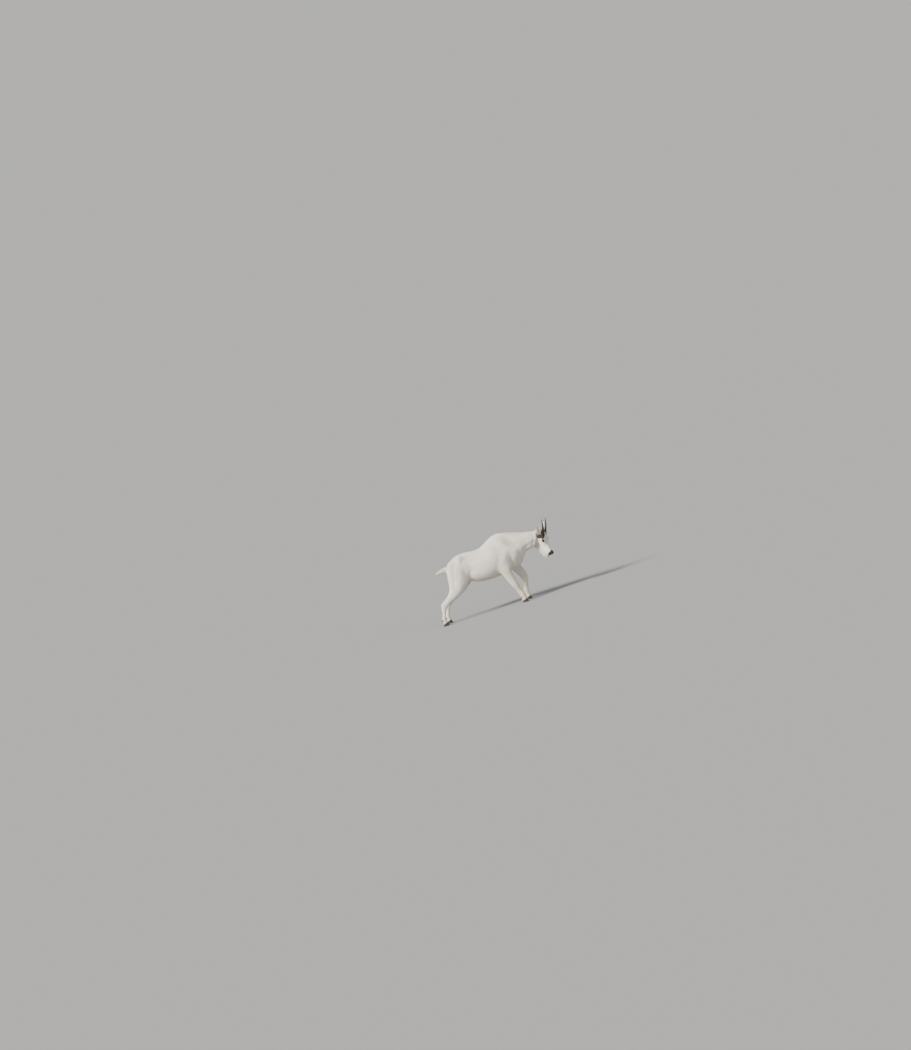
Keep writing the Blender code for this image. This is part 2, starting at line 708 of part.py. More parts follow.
def build_eyes(head, goat, cutters):
    """Round eyes in sockets of the head."""
    eyes = []
    for side, word in SIDES:
        centre = head_frame() @ mirrored(EYE_PLACE, side)
        eye = ball("eye_" + word, centre, EYE_RADIUS, goat)
        socket = ball("socket", centre, EYE_RADIUS + GAP, cutters)
        combine(head, socket, "DIFFERENCE")
        bpy.data.objects.remove(socket)
        eyes.append(eye)
    return eyes


def claw_shape(toe, y, outward):
    """One claw: a flat sole, a sloped toe near the inner side and a flat top that rises forward."""
    rings = []
    levels = 4
    for level in range(levels):
        t = level / (levels - 1)
        length = CLAW_LENGTH + (CLAW_TOP_LENGTH - CLAW_LENGTH) * t
        width = CLAW_WIDTH * (1 - 0.05 * t)
        ring = []
        for i in range(16):
            angle = 2 * math.pi * i / 16
            c, s = math.cos(angle), math.sin(angle)
            power = 1.8 if c > 0 else 2.6
            along = 0.5 + 0.5 * math.copysign(abs(c) ** (2 / power), c)
            narrowing = 0.45 if s * outward > 0 else 0.10
            across = math.copysign(abs(s) ** (2 / 2.4), s) * (1 - narrowing * max(c, 0) ** 2)
            height = CLAW_REAR_HEIGHT + (CLAW_FRONT_HEIGHT - CLAW_REAR_HEIGHT) * along
            side_step = width / 2 * across + CLAW_SPLAY * outward * length * along
            ring.append(Vector((toe - CLAW_LENGTH + length * along, y + side_step, height * t)))
        rings.append(ring)
    return loft(rings)


def claw_top(toe):
    """The plane on which a foot's claws end and its leg begins, facing down."""
    rise = CLAW_FRONT_HEIGHT - CLAW_REAR_HEIGHT
    point = Vector((toe - CLAW_LENGTH, 0, CLAW_REAR_HEIGHT))
    return point, Vector((rise, 0, -CLAW_TOP_LENGTH))


def dewclaw_shape(toe, y, outward):
    """A blunt spur behind the pastern."""
    root = Vector((toe - CLAW_LENGTH + 0.006, y + outward * DEWCLAW_SPACING / 2, 0.072))
    tip = root + Vector((-0.55, outward * 0.12, -0.82)).normalized() * DEWCLAW_LENGTH
    points = [root.lerp(tip, t) for t in (0, 0.45, 0.8, 1)]
    radii = [DEWCLAW_RADIUS * r for r in (1, 0.95, 0.7, 0.25)]
    return tube(points, radii, 8)


def horn_shape(side):
    """A slim horn that bends a little backward to its point."""
    count = 11
    points = []
    radii = []
    for i in range(count):
        t = i / (count - 1)
        start, middle, end = (mirrored(v, side) for v in (HORN_BASE, HORN_MIDDLE, HORN_TIP))
        control = middle * 2 - (start + end) / 2
        points.append(start * (1 - t) ** 2 + control * 2 * t * (1 - t) + end * t * t)
        radii.append(HORN_TIP_RADIUS + (HORN_RADIUS - HORN_TIP_RADIUS) * (1 - t) ** 0.85)
    shape = tube(points, radii, 12)
    shape.transform(head_frame())
    return shape


def ear_shape(side):
    """A pointed ear, cupped open to the side and front, with a rim that thins to an edge."""
    base = mirrored(EAR_BASE, side)
    tip = mirrored(EAR_TIP, side)
    along = (tip - base).normalized()
    opening = Vector((0.45, side * 0.80, 0.40))
    opening = (opening - along * opening.dot(along)).normalized()
    across = along.cross(opening)
    length = (tip - base).length
    rings = []
    rows = 11
    half = 6
    for row in range(rows):
        t = row / (rows - 1)
        width = EAR_HALF_WIDTH * (0.50 + 0.95 * math.sin(math.pi * min(1, t * 0.85 + 0.12)) ** 0.9 - 0.45)
        width = max(width, 0.0022)
        wrap = math.radians(150 - 85 * t)
        radius = width / math.sin(min(wrap, math.pi / 2))
        thickness = EAR_THICKNESS * (1 - 0.55 * t)
        centre = base + along * (length * t) + opening * (radius * 0.35 - 0.004 * t)
        outer = []
        inner = []
        for i in range(half + 1):
            angle = -wrap + 2 * wrap * i / half
            edge = 1 - abs(2 * i / half - 1) ** 4
            direction = across * math.sin(angle) - opening * math.cos(angle)
            outer.append(centre + direction * radius)
            inner.append(centre + direction * (radius - 0.0012 - thickness * edge))
        rings.append(outer + inner[::-1])
    shape = loft(rings)
    shape.transform(head_frame())
    return shape


def grown_copy(thing, amount, group):
    """A copy of an object with its surface moved outward by an amount."""
    made = thing.copy()
    made.data = thing.data.copy()
    group.objects.link(made)
    shape = bmesh.new()
    shape.from_mesh(made.data)
    shape.normal_update()
    for vertex, normal in [(v, v.normal.copy()) for v in shape.verts]:
        vertex.co += normal * amount * vertex.calc_shell_factor()
    shape.to_mesh(made.data)
    shape.free()
    return made


def paint(thing, colour, roughness):
    """Gives an object a material of its own and smooth shading with sharp cut edges."""
    look = bpy.data.materials.new(thing.name)
    look.use_nodes = True
    shader = look.node_tree.nodes["Principled BSDF"]
    shader.inputs["Base Color"].default_value = (*colour, 1)
    shader.inputs["Roughness"].default_value = roughness
    shader.inputs["Metallic"].default_value = 0
    thing.data.materials.clear()
    thing.data.materials.append(look)
    thing.data.shade_smooth()
    thing.data.set_sharp_from_angle(angle=math.radians(50))


def build_body(goat):
    """The whole body in one skin, from tail to nose."""
    body = to_object("torso", body_shapes() + head_shapes(), goat)
    skin_over(body, BODY_VOXEL, BODY_SMOOTHING, BODY_TRIANGLES, trunk_share)
    return body


def sided(plane, side):
    """A plane given for the left side, on one side."""
    return mirrored(plane[0], side), mirrored(plane[1], side)


def leg_plan(kind, side):
    """Where a leg parts from the body, where it divides, its toe and its place beside the middle."""
    middle = (Vector((0, 0, 0)), Vector((0, -side, 0)))
    if kind == "foreleg":
        knee = LEFT_KNEE if side > 0 else RIGHT_KNEE
        toe = LEFT_FORE_TOE if side > 0 else RIGHT_FORE_TOE
        return [sided(FORELEG_SLOPE, side), FORELEG_REAR, middle], knee, toe, side * FORE_HOOF_Y
    lead = Vector((LEFT_HIND_LEAD if side > 0 else 0, 0, 0))
    front = (HIND_LEG_FRONT[0] + lead, HIND_LEG_FRONT[1])
    hock = (HOCK[0] + lead, HOCK[1])
    toe = RIGHT_HIND_TOE + lead.x
    return [sided(HIND_LEG_SLOPE, side), front, middle], hock, toe, side * HIND_HOOF_Y


def build_leg(body, kind, side, word, goat, cutters):
    """Parts a leg off the body, divides it at its middle joint and sets its claws under it."""
    planes, joint, toe, y = leg_plan(kind, side)
    upper = part_off(body, f"{kind}_{word}_upper", planes, goat, cutters)
    lower = part_off(upper, f"{kind}_{word}_lower", [joint], goat, cutters)
    above = region([claw_top(toe)], -GAP, cutters)
    combine(lower, above, "INTERSECT")
    bpy.data.objects.remove(above)
    claws = []
    for outward, place in ((side, "outer"), (-side, "inner")):
        use_and_drop(lower, dewclaw_shape(toe, y, outward), "UNION", cutters)
        centre = y + outward * CLAW_SPACING / 2
        claw = claw_shape(toe, centre, outward)
        claws.append(to_object(f"hoof_{kind}_{word}_{place}", [claw], goat))
    return [upper, lower], claws


def cut_clear(thing, other, group):
    """Cuts a piece where another passes into it, so that they meet across the thin gap."""
    around = grown_copy(other, GAP, group)
    combine(thing, around, "DIFFERENCE")
    bpy.data.objects.remove(around)


def mend(thing):
    """Closes up the finest slivers that the cuts leave, where the surface stays closed by it."""
    shape = bmesh.new()
    shape.from_mesh(thing.data)
    bmesh.ops.triangulate(shape, faces=shape.faces)
    bmesh.ops.dissolve_degenerate(shape, dist=FINEST, edges=shape.edges)
    bmesh.ops.triangulate(shape, faces=shape.faces)
    if all(edge.is_manifold for edge in shape.edges):
        shape.to_mesh(thing.data)
    shape.free()


def centre_footprint(group):
    """Hangs every piece from one empty, placed so that the box stands centred on the origin."""
    low = Vector((math.inf, math.inf, math.inf))
    high = -low
    for thing in group.objects:
        for vertex in thing.data.vertices:
            low = Vector(map(min, low, vertex.co))
            high = Vector(map(max, high, vertex.co))
    stance = bpy.data.objects.new("stance", None)
    stance.location = (-(low.x + high.x) / 2, -(low.y + high.y) / 2, 0)
    pieces = list(group.objects)
    group.objects.link(stance)
    for thing in pieces:
        thing.parent = stance


def main():
    """Builds the goat, parts it and paints it."""
    clear_scene()
    goat = new_collection("mountain_goat")
    cutters = new_collection("cutters")

    body = build_body(goat)
    flesh = [body]
    claws = []
    for side, word in SIDES:
        for kind in ("foreleg", "hindleg"):
            parts, hooves = build_leg(body, kind, side, word, goat, cutters)
            flesh += parts
            claws += hooves
    tail = part_off(body, "tail", TAIL_CUTS, goat, cutters)
    away = (HEAD_CUT[0], -HEAD_CUT[1])
    behind = region([away], -GAP / 2, cutters)
    combine(body, behind, "INTERSECT")
    bpy.data.objects.remove(behind)
    neck = part_off(body, "neck", [NECK_CUT], goat, cutters)
    head = build_head(goat, cutters)
    flesh += [tail, neck, head]

    horns = []
    ears = []
    for side, word in SIDES:
        horn = to_object("horn_" + word, [horn_shape(side)], goat)
        cut_clear(head, horn, cutters)
        horns.append(horn)
        ear = to_object("ear_" + word, [ear_shape(side)], goat)
        cut_clear(ear, head, cutters)
        ears.append(ear)
    eyes = build_eyes(head, goat, cutters)

    for thing in flesh + ears:
        mend(thing)
    for thing in flesh:
        paint(thing, WHITE_COAT, 0.9)
    for thing in ears:
        paint(thing, EAR_COAT, 0.9)
    for thing in horns:
        paint(thing, HORN_BLACK, 0.45)
    for thing in claws:
        paint(thing, HOOF_GREY, 0.55)
    for thing in eyes:
        paint(thing, DARK_EYE, 0.08)
    centre_footprint(goat)


if __name__ == "__main__":
    main()
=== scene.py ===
# Mountain goat, life size: skin, coat, eyes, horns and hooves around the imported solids.
# Metres, +Z up, the goat faces +X. Lengths are drawn with x = 0 at the right hind hoof, and SHIFT,
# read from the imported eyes, brings them to the model's place.

import math

import bmesh
import bpy
import numpy as np
from mathutils import Matrix, Vector


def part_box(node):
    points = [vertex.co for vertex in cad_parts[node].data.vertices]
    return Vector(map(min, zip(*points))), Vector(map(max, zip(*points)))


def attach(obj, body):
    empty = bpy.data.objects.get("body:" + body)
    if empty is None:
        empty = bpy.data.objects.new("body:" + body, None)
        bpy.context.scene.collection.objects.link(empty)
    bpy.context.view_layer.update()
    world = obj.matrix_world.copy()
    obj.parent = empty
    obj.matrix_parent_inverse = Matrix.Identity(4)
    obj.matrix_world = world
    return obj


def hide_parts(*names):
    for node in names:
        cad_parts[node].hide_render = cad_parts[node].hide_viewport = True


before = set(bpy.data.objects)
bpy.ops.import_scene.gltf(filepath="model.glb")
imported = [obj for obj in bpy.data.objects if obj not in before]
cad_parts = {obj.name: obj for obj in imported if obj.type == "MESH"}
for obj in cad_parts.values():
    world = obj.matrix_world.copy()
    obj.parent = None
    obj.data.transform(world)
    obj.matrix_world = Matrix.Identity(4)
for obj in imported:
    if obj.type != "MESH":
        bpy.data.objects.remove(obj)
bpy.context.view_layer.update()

# Photograph: its size, how many of its points make a metre at the goat, and the slope of the line
# through its hooves
PHOTO_WIDTH = 911
PHOTO_HEIGHT = 1050
POINTS_PER_METRE = 94
HIND_HOOF_POINT = (446, 626)
PHOTO_SLOPE = math.radians(17)
CAMERA_RISE = math.radians(5)
CAMERA_DISTANCE = 100
SENSOR = 36
FLOOR_HALF_SIZE = 2500

# Lights: name, strength, width in degrees, colour, and where it comes from
LIGHTS = (
    ("key", 8.2, 16, (1.0, 0.955, 0.88), Vector((-0.69, -0.44, 0.57))),
    ("fill", 0.4, 60, (0.95, 0.97, 1.0), Vector((0.75, -0.45, 0.48))),
)
ROOM_LIGHT = 0.60

# Head: how far it hangs below the level, how far it turns to the right, and the top of its forehead
HEAD_DROOP = math.radians(74)
HEAD_TURN = math.radians(-30)
HEAD_PLACE = Vector((1.277, -0.035, 0.704))

# Head features in the head's own axes: x from poll to nose, y to the left, z to the forehead
EYE_PLACE = Vector((0.124, 0.0425, -0.034))
EYE_RADIUS = 0.0145
EYE_GAZE = Vector((0.28, 0.94, 0.12)).normalized()
EYE_HALF_LENGTH = 0.0118
EYE_HALF_HEIGHT = 0.0072
ORBIT_RADIUS = 0.0180
EYE_PARTING = 0.0105
EYE_PARTING_STRETCH = 1.45
PUPIL_ROLL = math.radians(58)
HORN_BASE = Vector((0.068, 0.025, -0.012))
HORN_MIDDLE = Vector((-0.006, 0.034, 0.043))
HORN_TIP = Vector((-0.080, 0.046, 0.078))
HORN_RADIUS = 0.0153
HORN_TIP_RADIUS = 0.0014
HORN_RINGS = 15
HORN_ROWS = 150
HORN_SIDES = 32
EAR_BASE = Vector((0.050, 0.046, -0.036))
EAR_TIP = Vector((-0.047, 0.082, 0.016))
EAR_HALF_WIDTH = 0.0205
EAR_THICKNESS = 0.0028
EAR_OPENING = (0.45, 0.80, 0.40)
MOUTH_HEIGHT = -0.0765
MOUTH_CORNER = 0.234
MOUTH_RISE = 0.004
NOSTRIL_PATH = ((0.2950, 0.0085, -0.0560), (0.2970, 0.0125, -0.0490), (0.2945, 0.0180, -0.0440),
                (0.2880, 0.0222, -0.0425), (0.2800, 0.0235, -0.0450))
# Dark patches: dark brown hair round the horn, down the brow and round the eye; the first two paths,
# from behind the ear under it to the horn, are gland hair with the ear's cast shadow painted in
DARK_PATHS = (
    (((0.006, 0.040, -0.044), (0.034, 0.050, -0.056), (0.066, 0.052, -0.064), (0.082, 0.050, -0.052),
      (0.087, 0.046, -0.034), (0.082, 0.038, -0.014)), 0.0155),
    (((0.022, 0.048, -0.056), (0.056, 0.053, -0.054), (0.070, 0.050, -0.038)), 0.0150),
    (((0.046, 0.016, -0.002), (0.050, 0.032, -0.008), (0.074, 0.036, -0.012)), 0.0130),
    (((0.078, 0.024, -0.002), (0.094, 0.036, -0.012), (0.108, 0.046, -0.024)), 0.0125),
    (((0.094, 0.051, -0.030), (0.112, 0.053, -0.030), (0.146, 0.049, -0.045)), 0.0125),
)

# Border between neck and head in the drawing: a point on it and the direction across it
HEAD_BORDER = (1.182, 0.0, 0.615)
HEAD_BORDER_WAY = (0.90, -0.10, -0.42)

# Hooves: two claws a foot
CLAW_LENGTH = 0.066
CLAW_TOP_LENGTH = 0.049
CLAW_WIDTH = 0.0245
CLAW_FRONT_HEIGHT = 0.040
CLAW_REAR_HEIGHT = 0.025
CLAW_EDGE = 0.0012
CLAW_SPLAY = 0.05
CLAW_SPACING = 0.0262
DEWCLAW_LENGTH = 0.021
DEWCLAW_RADIUS = 0.0066
DEWCLAW_SPACING = 0.027
# Legs: kind, side, word, how far the toe is ahead, and how far the foot is from the middle
FEET = (("foreleg", -1, "right", 0.9270, 0.088), ("foreleg", 1, "left", 0.9740, 0.088),
        ("hindleg", -1, "right", 0.0450, 0.086), ("hindleg", 1, "left", 0.0900, 0.086))
SIDES = ((-1, "right"), (1, "left"))

# Back of the neck where it enters the head: top x, top z, bottom x, bottom z, half width, y
NAPE = ((1.100, 0.713, 1.095, 0.516, 0.066, -0.004), (1.150, 0.702, 1.130, 0.522, 0.061, -0.008),
        (1.200, 0.691, 1.172, 0.552, 0.054, -0.013), (1.240, 0.672, 1.208, 0.590, 0.040, -0.018))
TAIL = ((0.230, 0.600, 0.222, 0.560, 0.020, 0.0), (0.180, 0.597, 0.176, 0.553, 0.019, 0.0),
        (0.140, 0.588, 0.140, 0.545, 0.016, 0.0), (0.105, 0.578, 0.108, 0.549, 0.011, 0.0),
        (0.071, 0.563, 0.073, 0.558, 0.003, 0.0))

# Head sections in the head's own axes: x, top z, bottom z, half width, widest, upper and lower power
SKULL = (
    (-0.012, -0.030, -0.088, 0.030, 0.45, 2.0, 2.0), (0.010, -0.014, -0.108, 0.043, 0.42, 2.1, 2.0),
    (0.040, -0.004, -0.130, 0.049, 0.38, 2.3, 1.9), (0.075, -0.001, -0.142, 0.050, 0.34, 2.4, 1.9),
    (0.110, -0.006, -0.140, 0.049, 0.31, 2.4, 1.9), (0.140, -0.017, -0.131, 0.041, 0.32, 2.2, 2.0),
    (0.178, -0.026, -0.118, 0.032, 0.38, 2.0, 2.1), (0.215, -0.029, -0.108, 0.0275, 0.44, 2.0, 2.2),
    (0.248, -0.029, -0.102, 0.0265, 0.50, 2.1, 2.3), (0.275, -0.031, -0.098, 0.0255, 0.50, 2.2, 2.2),
    (0.291, -0.039, -0.090, 0.020, 0.48, 2.1, 2.0),
)
# Rounded forms on the skull: centre, half sizes; they come in pairs
HEAD_FORMS = (
    (Vector((0.082, 0.024, -0.098)), Vector((0.050, 0.020, 0.042))),
    (Vector((0.116, 0.034, -0.025)), Vector((0.030, 0.0165, 0.015))),
    (EYE_PLACE, Vector((ORBIT_RADIUS, ORBIT_RADIUS, ORBIT_RADIUS))),
    (Vector((0.143, 0.030, -0.040)), Vector((0.026, 0.0130, 0.0135))),
    (Vector((0.152, 0.024, -0.062)), Vector((0.044, 0.015, 0.017))),
    (Vector((0.281, 0.011, -0.046)), Vector((0.019, 0.014, 0.017))),
    (Vector((0.276, 0.010, -0.067)), Vector((0.024, 0.016, 0.011))),
    (Vector((0.2835, 0.003, -0.050)), Vector((0.0165, 0.012, 0.018))),
    (Vector((0.2800, 0.003, -0.069)), Vector((0.0195, 0.012, 0.011))),
    (Vector((0.268, 0.006, -0.090)), Vector((0.024, 0.014, 0.011))),
    (Vector((0.046, 0.034, -0.036)), Vector((0.026, 0.018, 0.024))),
    (Vector((0.068, 0.022, -0.012)), Vector((0.026, 0.021, 0.018))),
)

# Flesh and dense hair under the beard: x, upper z, lower z, half width along the jaw
BEARD_CORE = (
    (0.012, -0.096, -0.130, 0.012), (0.060, -0.110, -0.158, 0.015), (0.105, -0.110, -0.164, 0.015),
    (0.160, -0.100, -0.155, 0.013), (0.212, -0.094, -0.138, 0.011), (0.245, -0.090, -0.124, 0.009),
    (0.262, -0.096, -0.112, 0.005),
)
# The line that the tips of the beard reach, as x and z
BEARD_EDGE = ((0.020, -0.156), (0.060, -0.184), (0.105, -0.192), (0.160, -0.188), (0.212, -0.177),
              (0.250, -0.164), (0.290, -0.146))

# Muscles, bones and folds on both sides: a path of x and z, its width, how far it stands out, and
# how much further forward it lies on the left
BODY_FORMS = (
    (((0.800, 0.745), (0.850, 0.660), (0.905, 0.575)), 0.030, 0.0050, 0.010),
    (((0.945, 0.550), (0.925, 0.505)), 0.034, 0.0070, 0.010),
    (((0.905, 0.735), (0.955, 0.640), (0.985, 0.560)), 0.020, -0.0065, 0.010),
    (((0.740, 0.720), (0.765, 0.610), (0.735, 0.500)), 0.022, -0.0045, 0.020),
    (((0.850, 0.580), (0.775, 0.475)), 0.034, 0.0055, 0.060),
    (((0.880, 0.500), (0.862, 0.420)), 0.014, -0.0050, 0.070),
    (((0.735, 0.435), (0.730, 0.420)), 0.016, 0.0040, 0.080),
    (((0.440, 0.580), (0.445, 0.500)), 0.040, -0.0070, 0.015),
    (((0.352, 0.655), (0.340, 0.640)), 0.022, 0.0055, 0.0),
    (((0.225, 0.610), (0.220, 0.590)), 0.020, 0.0040, 0.0),
    (((0.330, 0.600), (0.315, 0.480), (0.280, 0.400)), 0.036, 0.0050, 0.025),
    (((0.262, 0.590), (0.235, 0.480), (0.205, 0.380)), 0.013, -0.0042, 0.020),
    (((0.425, 0.490), (0.405, 0.430), (0.360, 0.360)), 0.016, -0.0050, 0.040),
    (((1.140, 0.590), (1.060, 0.565), (0.990, 0.520)), 0.014, -0.0045, 0.0),
    (((1.168, 0.625), (1.150, 0.590), (1.132, 0.560)), 0.011, -0.0085, 0.0),
)

# Skin
SKIN_VOXEL = 0.0021
SKIN_TRIANGLES = 110000
SKIN_SMOOTHING = 8
BODY_VOXEL = 0.007
BODY_SMOOTHING = 40
FACE_SMOOTHING = 50
FLESH_NODES = ["torso", "neck", "head", "tail"] + [
    f"{kind}_{word}_{part}"
    for kind, side, word, toe, y in FEET
    for part in ("upper", "lower")
]

# Coat: how deep it is and how long and wide its tufts are on each region
TRUNK_COAT = (0.0060, 0.025, 0.0034)
LEG_COAT = (0.0024, 0.012, 0.0022)
CHEEK_COAT = (0.0024, 0.010, 0.0017)
MUZZLE_COAT = (0.0012, 0.0045, 0.0011)
COAT_TUFTS = 122000
TUFTS_A_PIECE = 21000
TUFT_TAPER = (1.0, 0.95, 0.8, 0.55, 0.3)
GRAVITY = (0, 0, -1.0)
BEARD_TUFTS = 6800
TAIL_TUFTS = 1700
CROWN_TUFTS = 900
CORONET_TUFTS = 3400
EAR_TUFTS = 6000
LONG_SHARE = 1.0
LASHES = 46
BAKE_PATCH = 0.003
UNWRAP_SLOTS = 24
MARKS = ("black", "dark", "cream")
# Regions of the coat: name, place and size on the bake map
REGIONS = (
    ("trunk", (0.0, 0.0), (0.5, 0.6)),
    ("neck", (0.0, 0.6), (0.5, 0.2)),
    ("head", (0.5, 0.0), (0.5, 0.5)),
    ("tail", (0.0, 0.8), (0.2, 0.2)),
    ("foreleg_right", (0.5, 0.5), (0.25, 0.25)),
    ("foreleg_left", (0.75, 0.5), (0.25, 0.25)),
    ("hindleg_right", (0.5, 0.75), (0.25, 0.25)),
    ("hindleg_left", (0.75, 0.75), (0.25, 0.25)),
)
# How the coat of trunk, neck and legs lies: a place as x and z, how far it rules, and a direction
COAT_FLOWS = (
    ((1.10, 0.66), 0.10, (-0.93, -0.37)), ((1.08, 0.54), 0.08, (-0.55, -0.83)),
    ((0.96, 0.72), 0.10, (-0.96, -0.28)), ((0.97, 0.50), 0.09, (-0.25, -0.97)),
    ((0.80, 0.74), 0.12, (-0.95, -0.31)), ((0.86, 0.58), 0.10, (-0.60, -0.80)),
    ((0.80, 0.44), 0.09, (-0.45, -0.89)), ((0.60, 0.62), 0.12, (-0.88, -0.47)),
    ((0.58, 0.40), 0.12, (-0.97, -0.24)), ((0.38, 0.65), 0.12, (-0.86, -0.51)),
    ((0.40, 0.44), 0.10, (-0.80, -0.60)), ((0.24, 0.62), 0.08, (-0.72, -0.69)),
    ((0.24, 0.48), 0.10, (-0.35, -0.94)), ((0.18, 0.34), 0.08, (-0.40, -0.92)),
    ((0.10, 0.58), 0.04, (-0.96, -0.28)), ((0.86, 0.25), 0.10, (-0.05, -1.0)),
    ((0.04, 0.20), 0.10, (0.0, -1.0)), ((0.90, 0.10), 0.10, (0.0, -1.0)),
)
# Lids across their edge: how far from the opening, how high above the ball, and how black
LID_PROFILE = (
    (0.0, 0.0001, 1.0), (-0.0003, 0.0009, 1.0), (0.0004, 0.0018, 1.0), (0.0014, 0.0023, 0.9),
    (0.0026, 0.0021, 0.6), (0.0035, 0.0015, 0.7), (0.0045, 0.0021, 0.3), (0.0058, 0.0016, 0.0),
    (0.0070, 0.0002, 0.0), (0.0066, -0.0012, 0.0), (0.0040, -0.0010, 0.0),
)

# Colours
BLACK_SKIN = (0.018, 0.015, 0.014)
# Dark brown hair, also used for the painted shadow under the ear and the painted shade at the muzzle end
DARK_HAIR_AND_PAINTED_SHADE = (0.038, 0.026, 0.020)
WHITE_HAIR = (0.88, 0.855, 0.80)
GREYER_HAIR = (0.82, 0.785, 0.71)
CREAM_HAIR = (0.74, 0.655, 0.51)
FLOOR_COLOUR = (0.275, 0.275, 0.28)


def blend_rows(rows, steps=6):
    """Rows of numbers with more rows between each two, along a Catmull-Rom curve."""
    out = []
    last = len(rows) - 1
    for i in range(last):
        a, b, c, d = rows[max(i - 1, 0)], rows[i], rows[i + 1], rows[min(i + 2, last)]
        for step in range(steps):
            t = step / steps
            out.append(
                tuple(
                    0.5 * (2 * q + (r - p) * t + (2 * p - 5 * q + 4 * r - s) * t * t
                           + (3 * q - p - 3 * r + s) * t ** 3)
                    for p, q, r, s in zip(a, b, c, d)
                )
            )
    out.append(tuple(rows[-1]))
    return out


def section(top, bottom, half_width, widest=0.5, crest=2.0, keel=2.0, count=48):
    """One closed ring from a top point to a bottom point, widest at a level between them."""
    middle = top.lerp(bottom, widest)
    points = []
    for i in range(count):
        angle = 2 * math.pi * i / count
        upper = math.cos(angle) >= 0
        reach = (top if upper else bottom) - middle
        power = crest if upper else keel
        along = abs(math.cos(angle)) ** (2 / power)
        across = math.copysign(abs(math.sin(angle)) ** (2 / power), math.sin(angle))
        points.append(middle + reach * along + Vector((0, half_width * across, 0)))
    return points


def loft(rings, closed=False):
    """A shape through rings of the same number of points, with its ends filled or joined."""
    shape = bmesh.new()
    loops = [[shape.verts.new(point) for point in ring] for ring in rings]
    count = len(loops[0])
    pairs = list(zip(loops, loops[1:]))
    if closed:
        pairs.append((loops[-1], loops[0]))
    for low, high in pairs:
        for i in range(count):
            j = (i + 1) % count
            shape.faces.new((low[i], low[j], high[j], high[i]))
    if not closed:
        shape.faces.new(list(reversed(loops[0])))
        shape.faces.new(loops[-1])
    bmesh.ops.recalc_face_normals(shape, faces=shape.faces)
    return shape


def ellipsoid(centre, half_sizes):
    """An egg shape about a centre."""
    shape = bmesh.new()
    bmesh.ops.create_icosphere(shape, subdivisions=4, radius=1)
    shape.transform(Matrix.Translation(centre) @ Matrix.Diagonal((*half_sizes, 1)))
    return shape


def tube(points, radii, sides=8):
    """A round tube along points, closed at both ends."""
    rings = []
    across = None
    for i, point in enumerate(points):
        ahead = points[min(i + 1, len(points) - 1)] - points[max(i - 1, 0)]
        ahead.normalize()
        if across is None:
            across = ahead.orthogonal().normalized()
        across = (across - ahead * across.dot(ahead)).normalized()
        up = ahead.cross(across)
        ring = []
        for k in range(sides):
            angle = 2 * math.pi * k / sides
            ring.append(point + (across * math.cos(angle) + up * math.sin(angle)) * radii[i])
        rings.append(ring)
    return loft(rings)


def in_scene(name, data):
    """A new object in the scene."""
    made = bpy.data.objects.new(name, data)
    bpy.context.scene.collection.objects.link(made)
    return made


def to_object(name, shapes):
    """One object in the scene that holds the given shapes side by side."""
    mesh = bpy.data.meshes.new(name)
    whole = bmesh.new()
    for shape in shapes:
        piece = bpy.data.meshes.new("piece")
        shape.to_mesh(piece)
        shape.free()
        whole.from_mesh(piece)
        bpy.data.meshes.remove(piece)
    whole.to_mesh(mesh)
    whole.free()
    return in_scene(name, mesh)


def smooth_object(name, shapes, place):
    """One object with smooth shading from shapes that are moved to their place."""
    for shape in shapes:
        shape.transform(place)
    made = to_object(name, shapes)
    made.data.shade_smooth()
    return made


def settle(thing):
    """Puts the result of an object's modifiers in its mesh and removes the modifiers."""
    bpy.context.view_layer.update()
    seen = thing.evaluated_get(bpy.context.evaluated_depsgraph_get())
    mesh = bpy.data.meshes.new_from_object(seen)
    thing.modifiers.clear()
    old = thing.data
    thing.data = mesh
    mesh.name = thing.name
    bpy.data.meshes.remove(old)


def keep_largest(thing):
    """Leaves only the largest closed surface of an object."""
    shape = bmesh.new()
    shape.from_mesh(thing.data)
    unseen = set(shape.verts)
    bodies = []
    while unseen:
        front = {unseen.pop()}
        body = set(front)
        while front:
            front = {e.other_vert(v) for v in front for e in v.link_edges} & unseen
            unseen -= front
            body |= front
        bodies.append(body)
    largest = max(bodies, key=len)
    bmesh.ops.delete(shape, geom=[v for v in shape.verts if v not in largest], context="VERTS")
    shape.to_mesh(thing.data)
    shape.free()


def mirrored(vector, side):
    """The vector on one side of the middle plane."""
    return Vector((vector.x, side * vector.y, vector.z))


def head_place():
    """The head's own axes in the drawing, from its droop and turn."""
    along = Vector((math.cos(HEAD_DROOP), 0, -math.sin(HEAD_DROOP)))
    forehead = Vector((math.sin(HEAD_DROOP), 0, math.cos(HEAD_DROOP)))
    axes = Matrix((along, Vector((0, 1, 0)), forehead)).transposed()
    turned = Matrix.Rotation(HEAD_TURN, 3, "Z") @ axes
    return Matrix.Translation(HEAD_PLACE) @ turned.to_4x4()


def packed_shift():
    """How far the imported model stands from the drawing, from its right eye."""
    low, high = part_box("eye_right")
    return (low + high) / 2 - head_place() @ mirrored(EYE_PLACE, -1)


SHIFT = packed_shift()
HEAD = Matrix.Translation(SHIFT) @ head_place()
HEAD_AXES = np.array(HEAD)[:3, :3]
HEAD_ORIGIN = np.array(HEAD)[:3, 3]


def to_head(points):
    """World points in the head's own axes."""
    return (points - HEAD_ORIGIN) @ HEAD_AXES


def from_head(local):
    """Head points in the world."""
    return local @ HEAD_AXES.T + HEAD_ORIGIN


def to_drawing(points):
    """World points in the drawing."""
    return points - np.array(SHIFT)


def on_left(local):
    """Head points brought to the left side."""
    return np.stack((local[:, 0], np.abs(local[:, 1]), local[:, 2]), axis=1)


def unit(vectors):
    """Each vector at length 1."""
    return vectors / np.linalg.norm(vectors, axis=-1, keepdims=True)


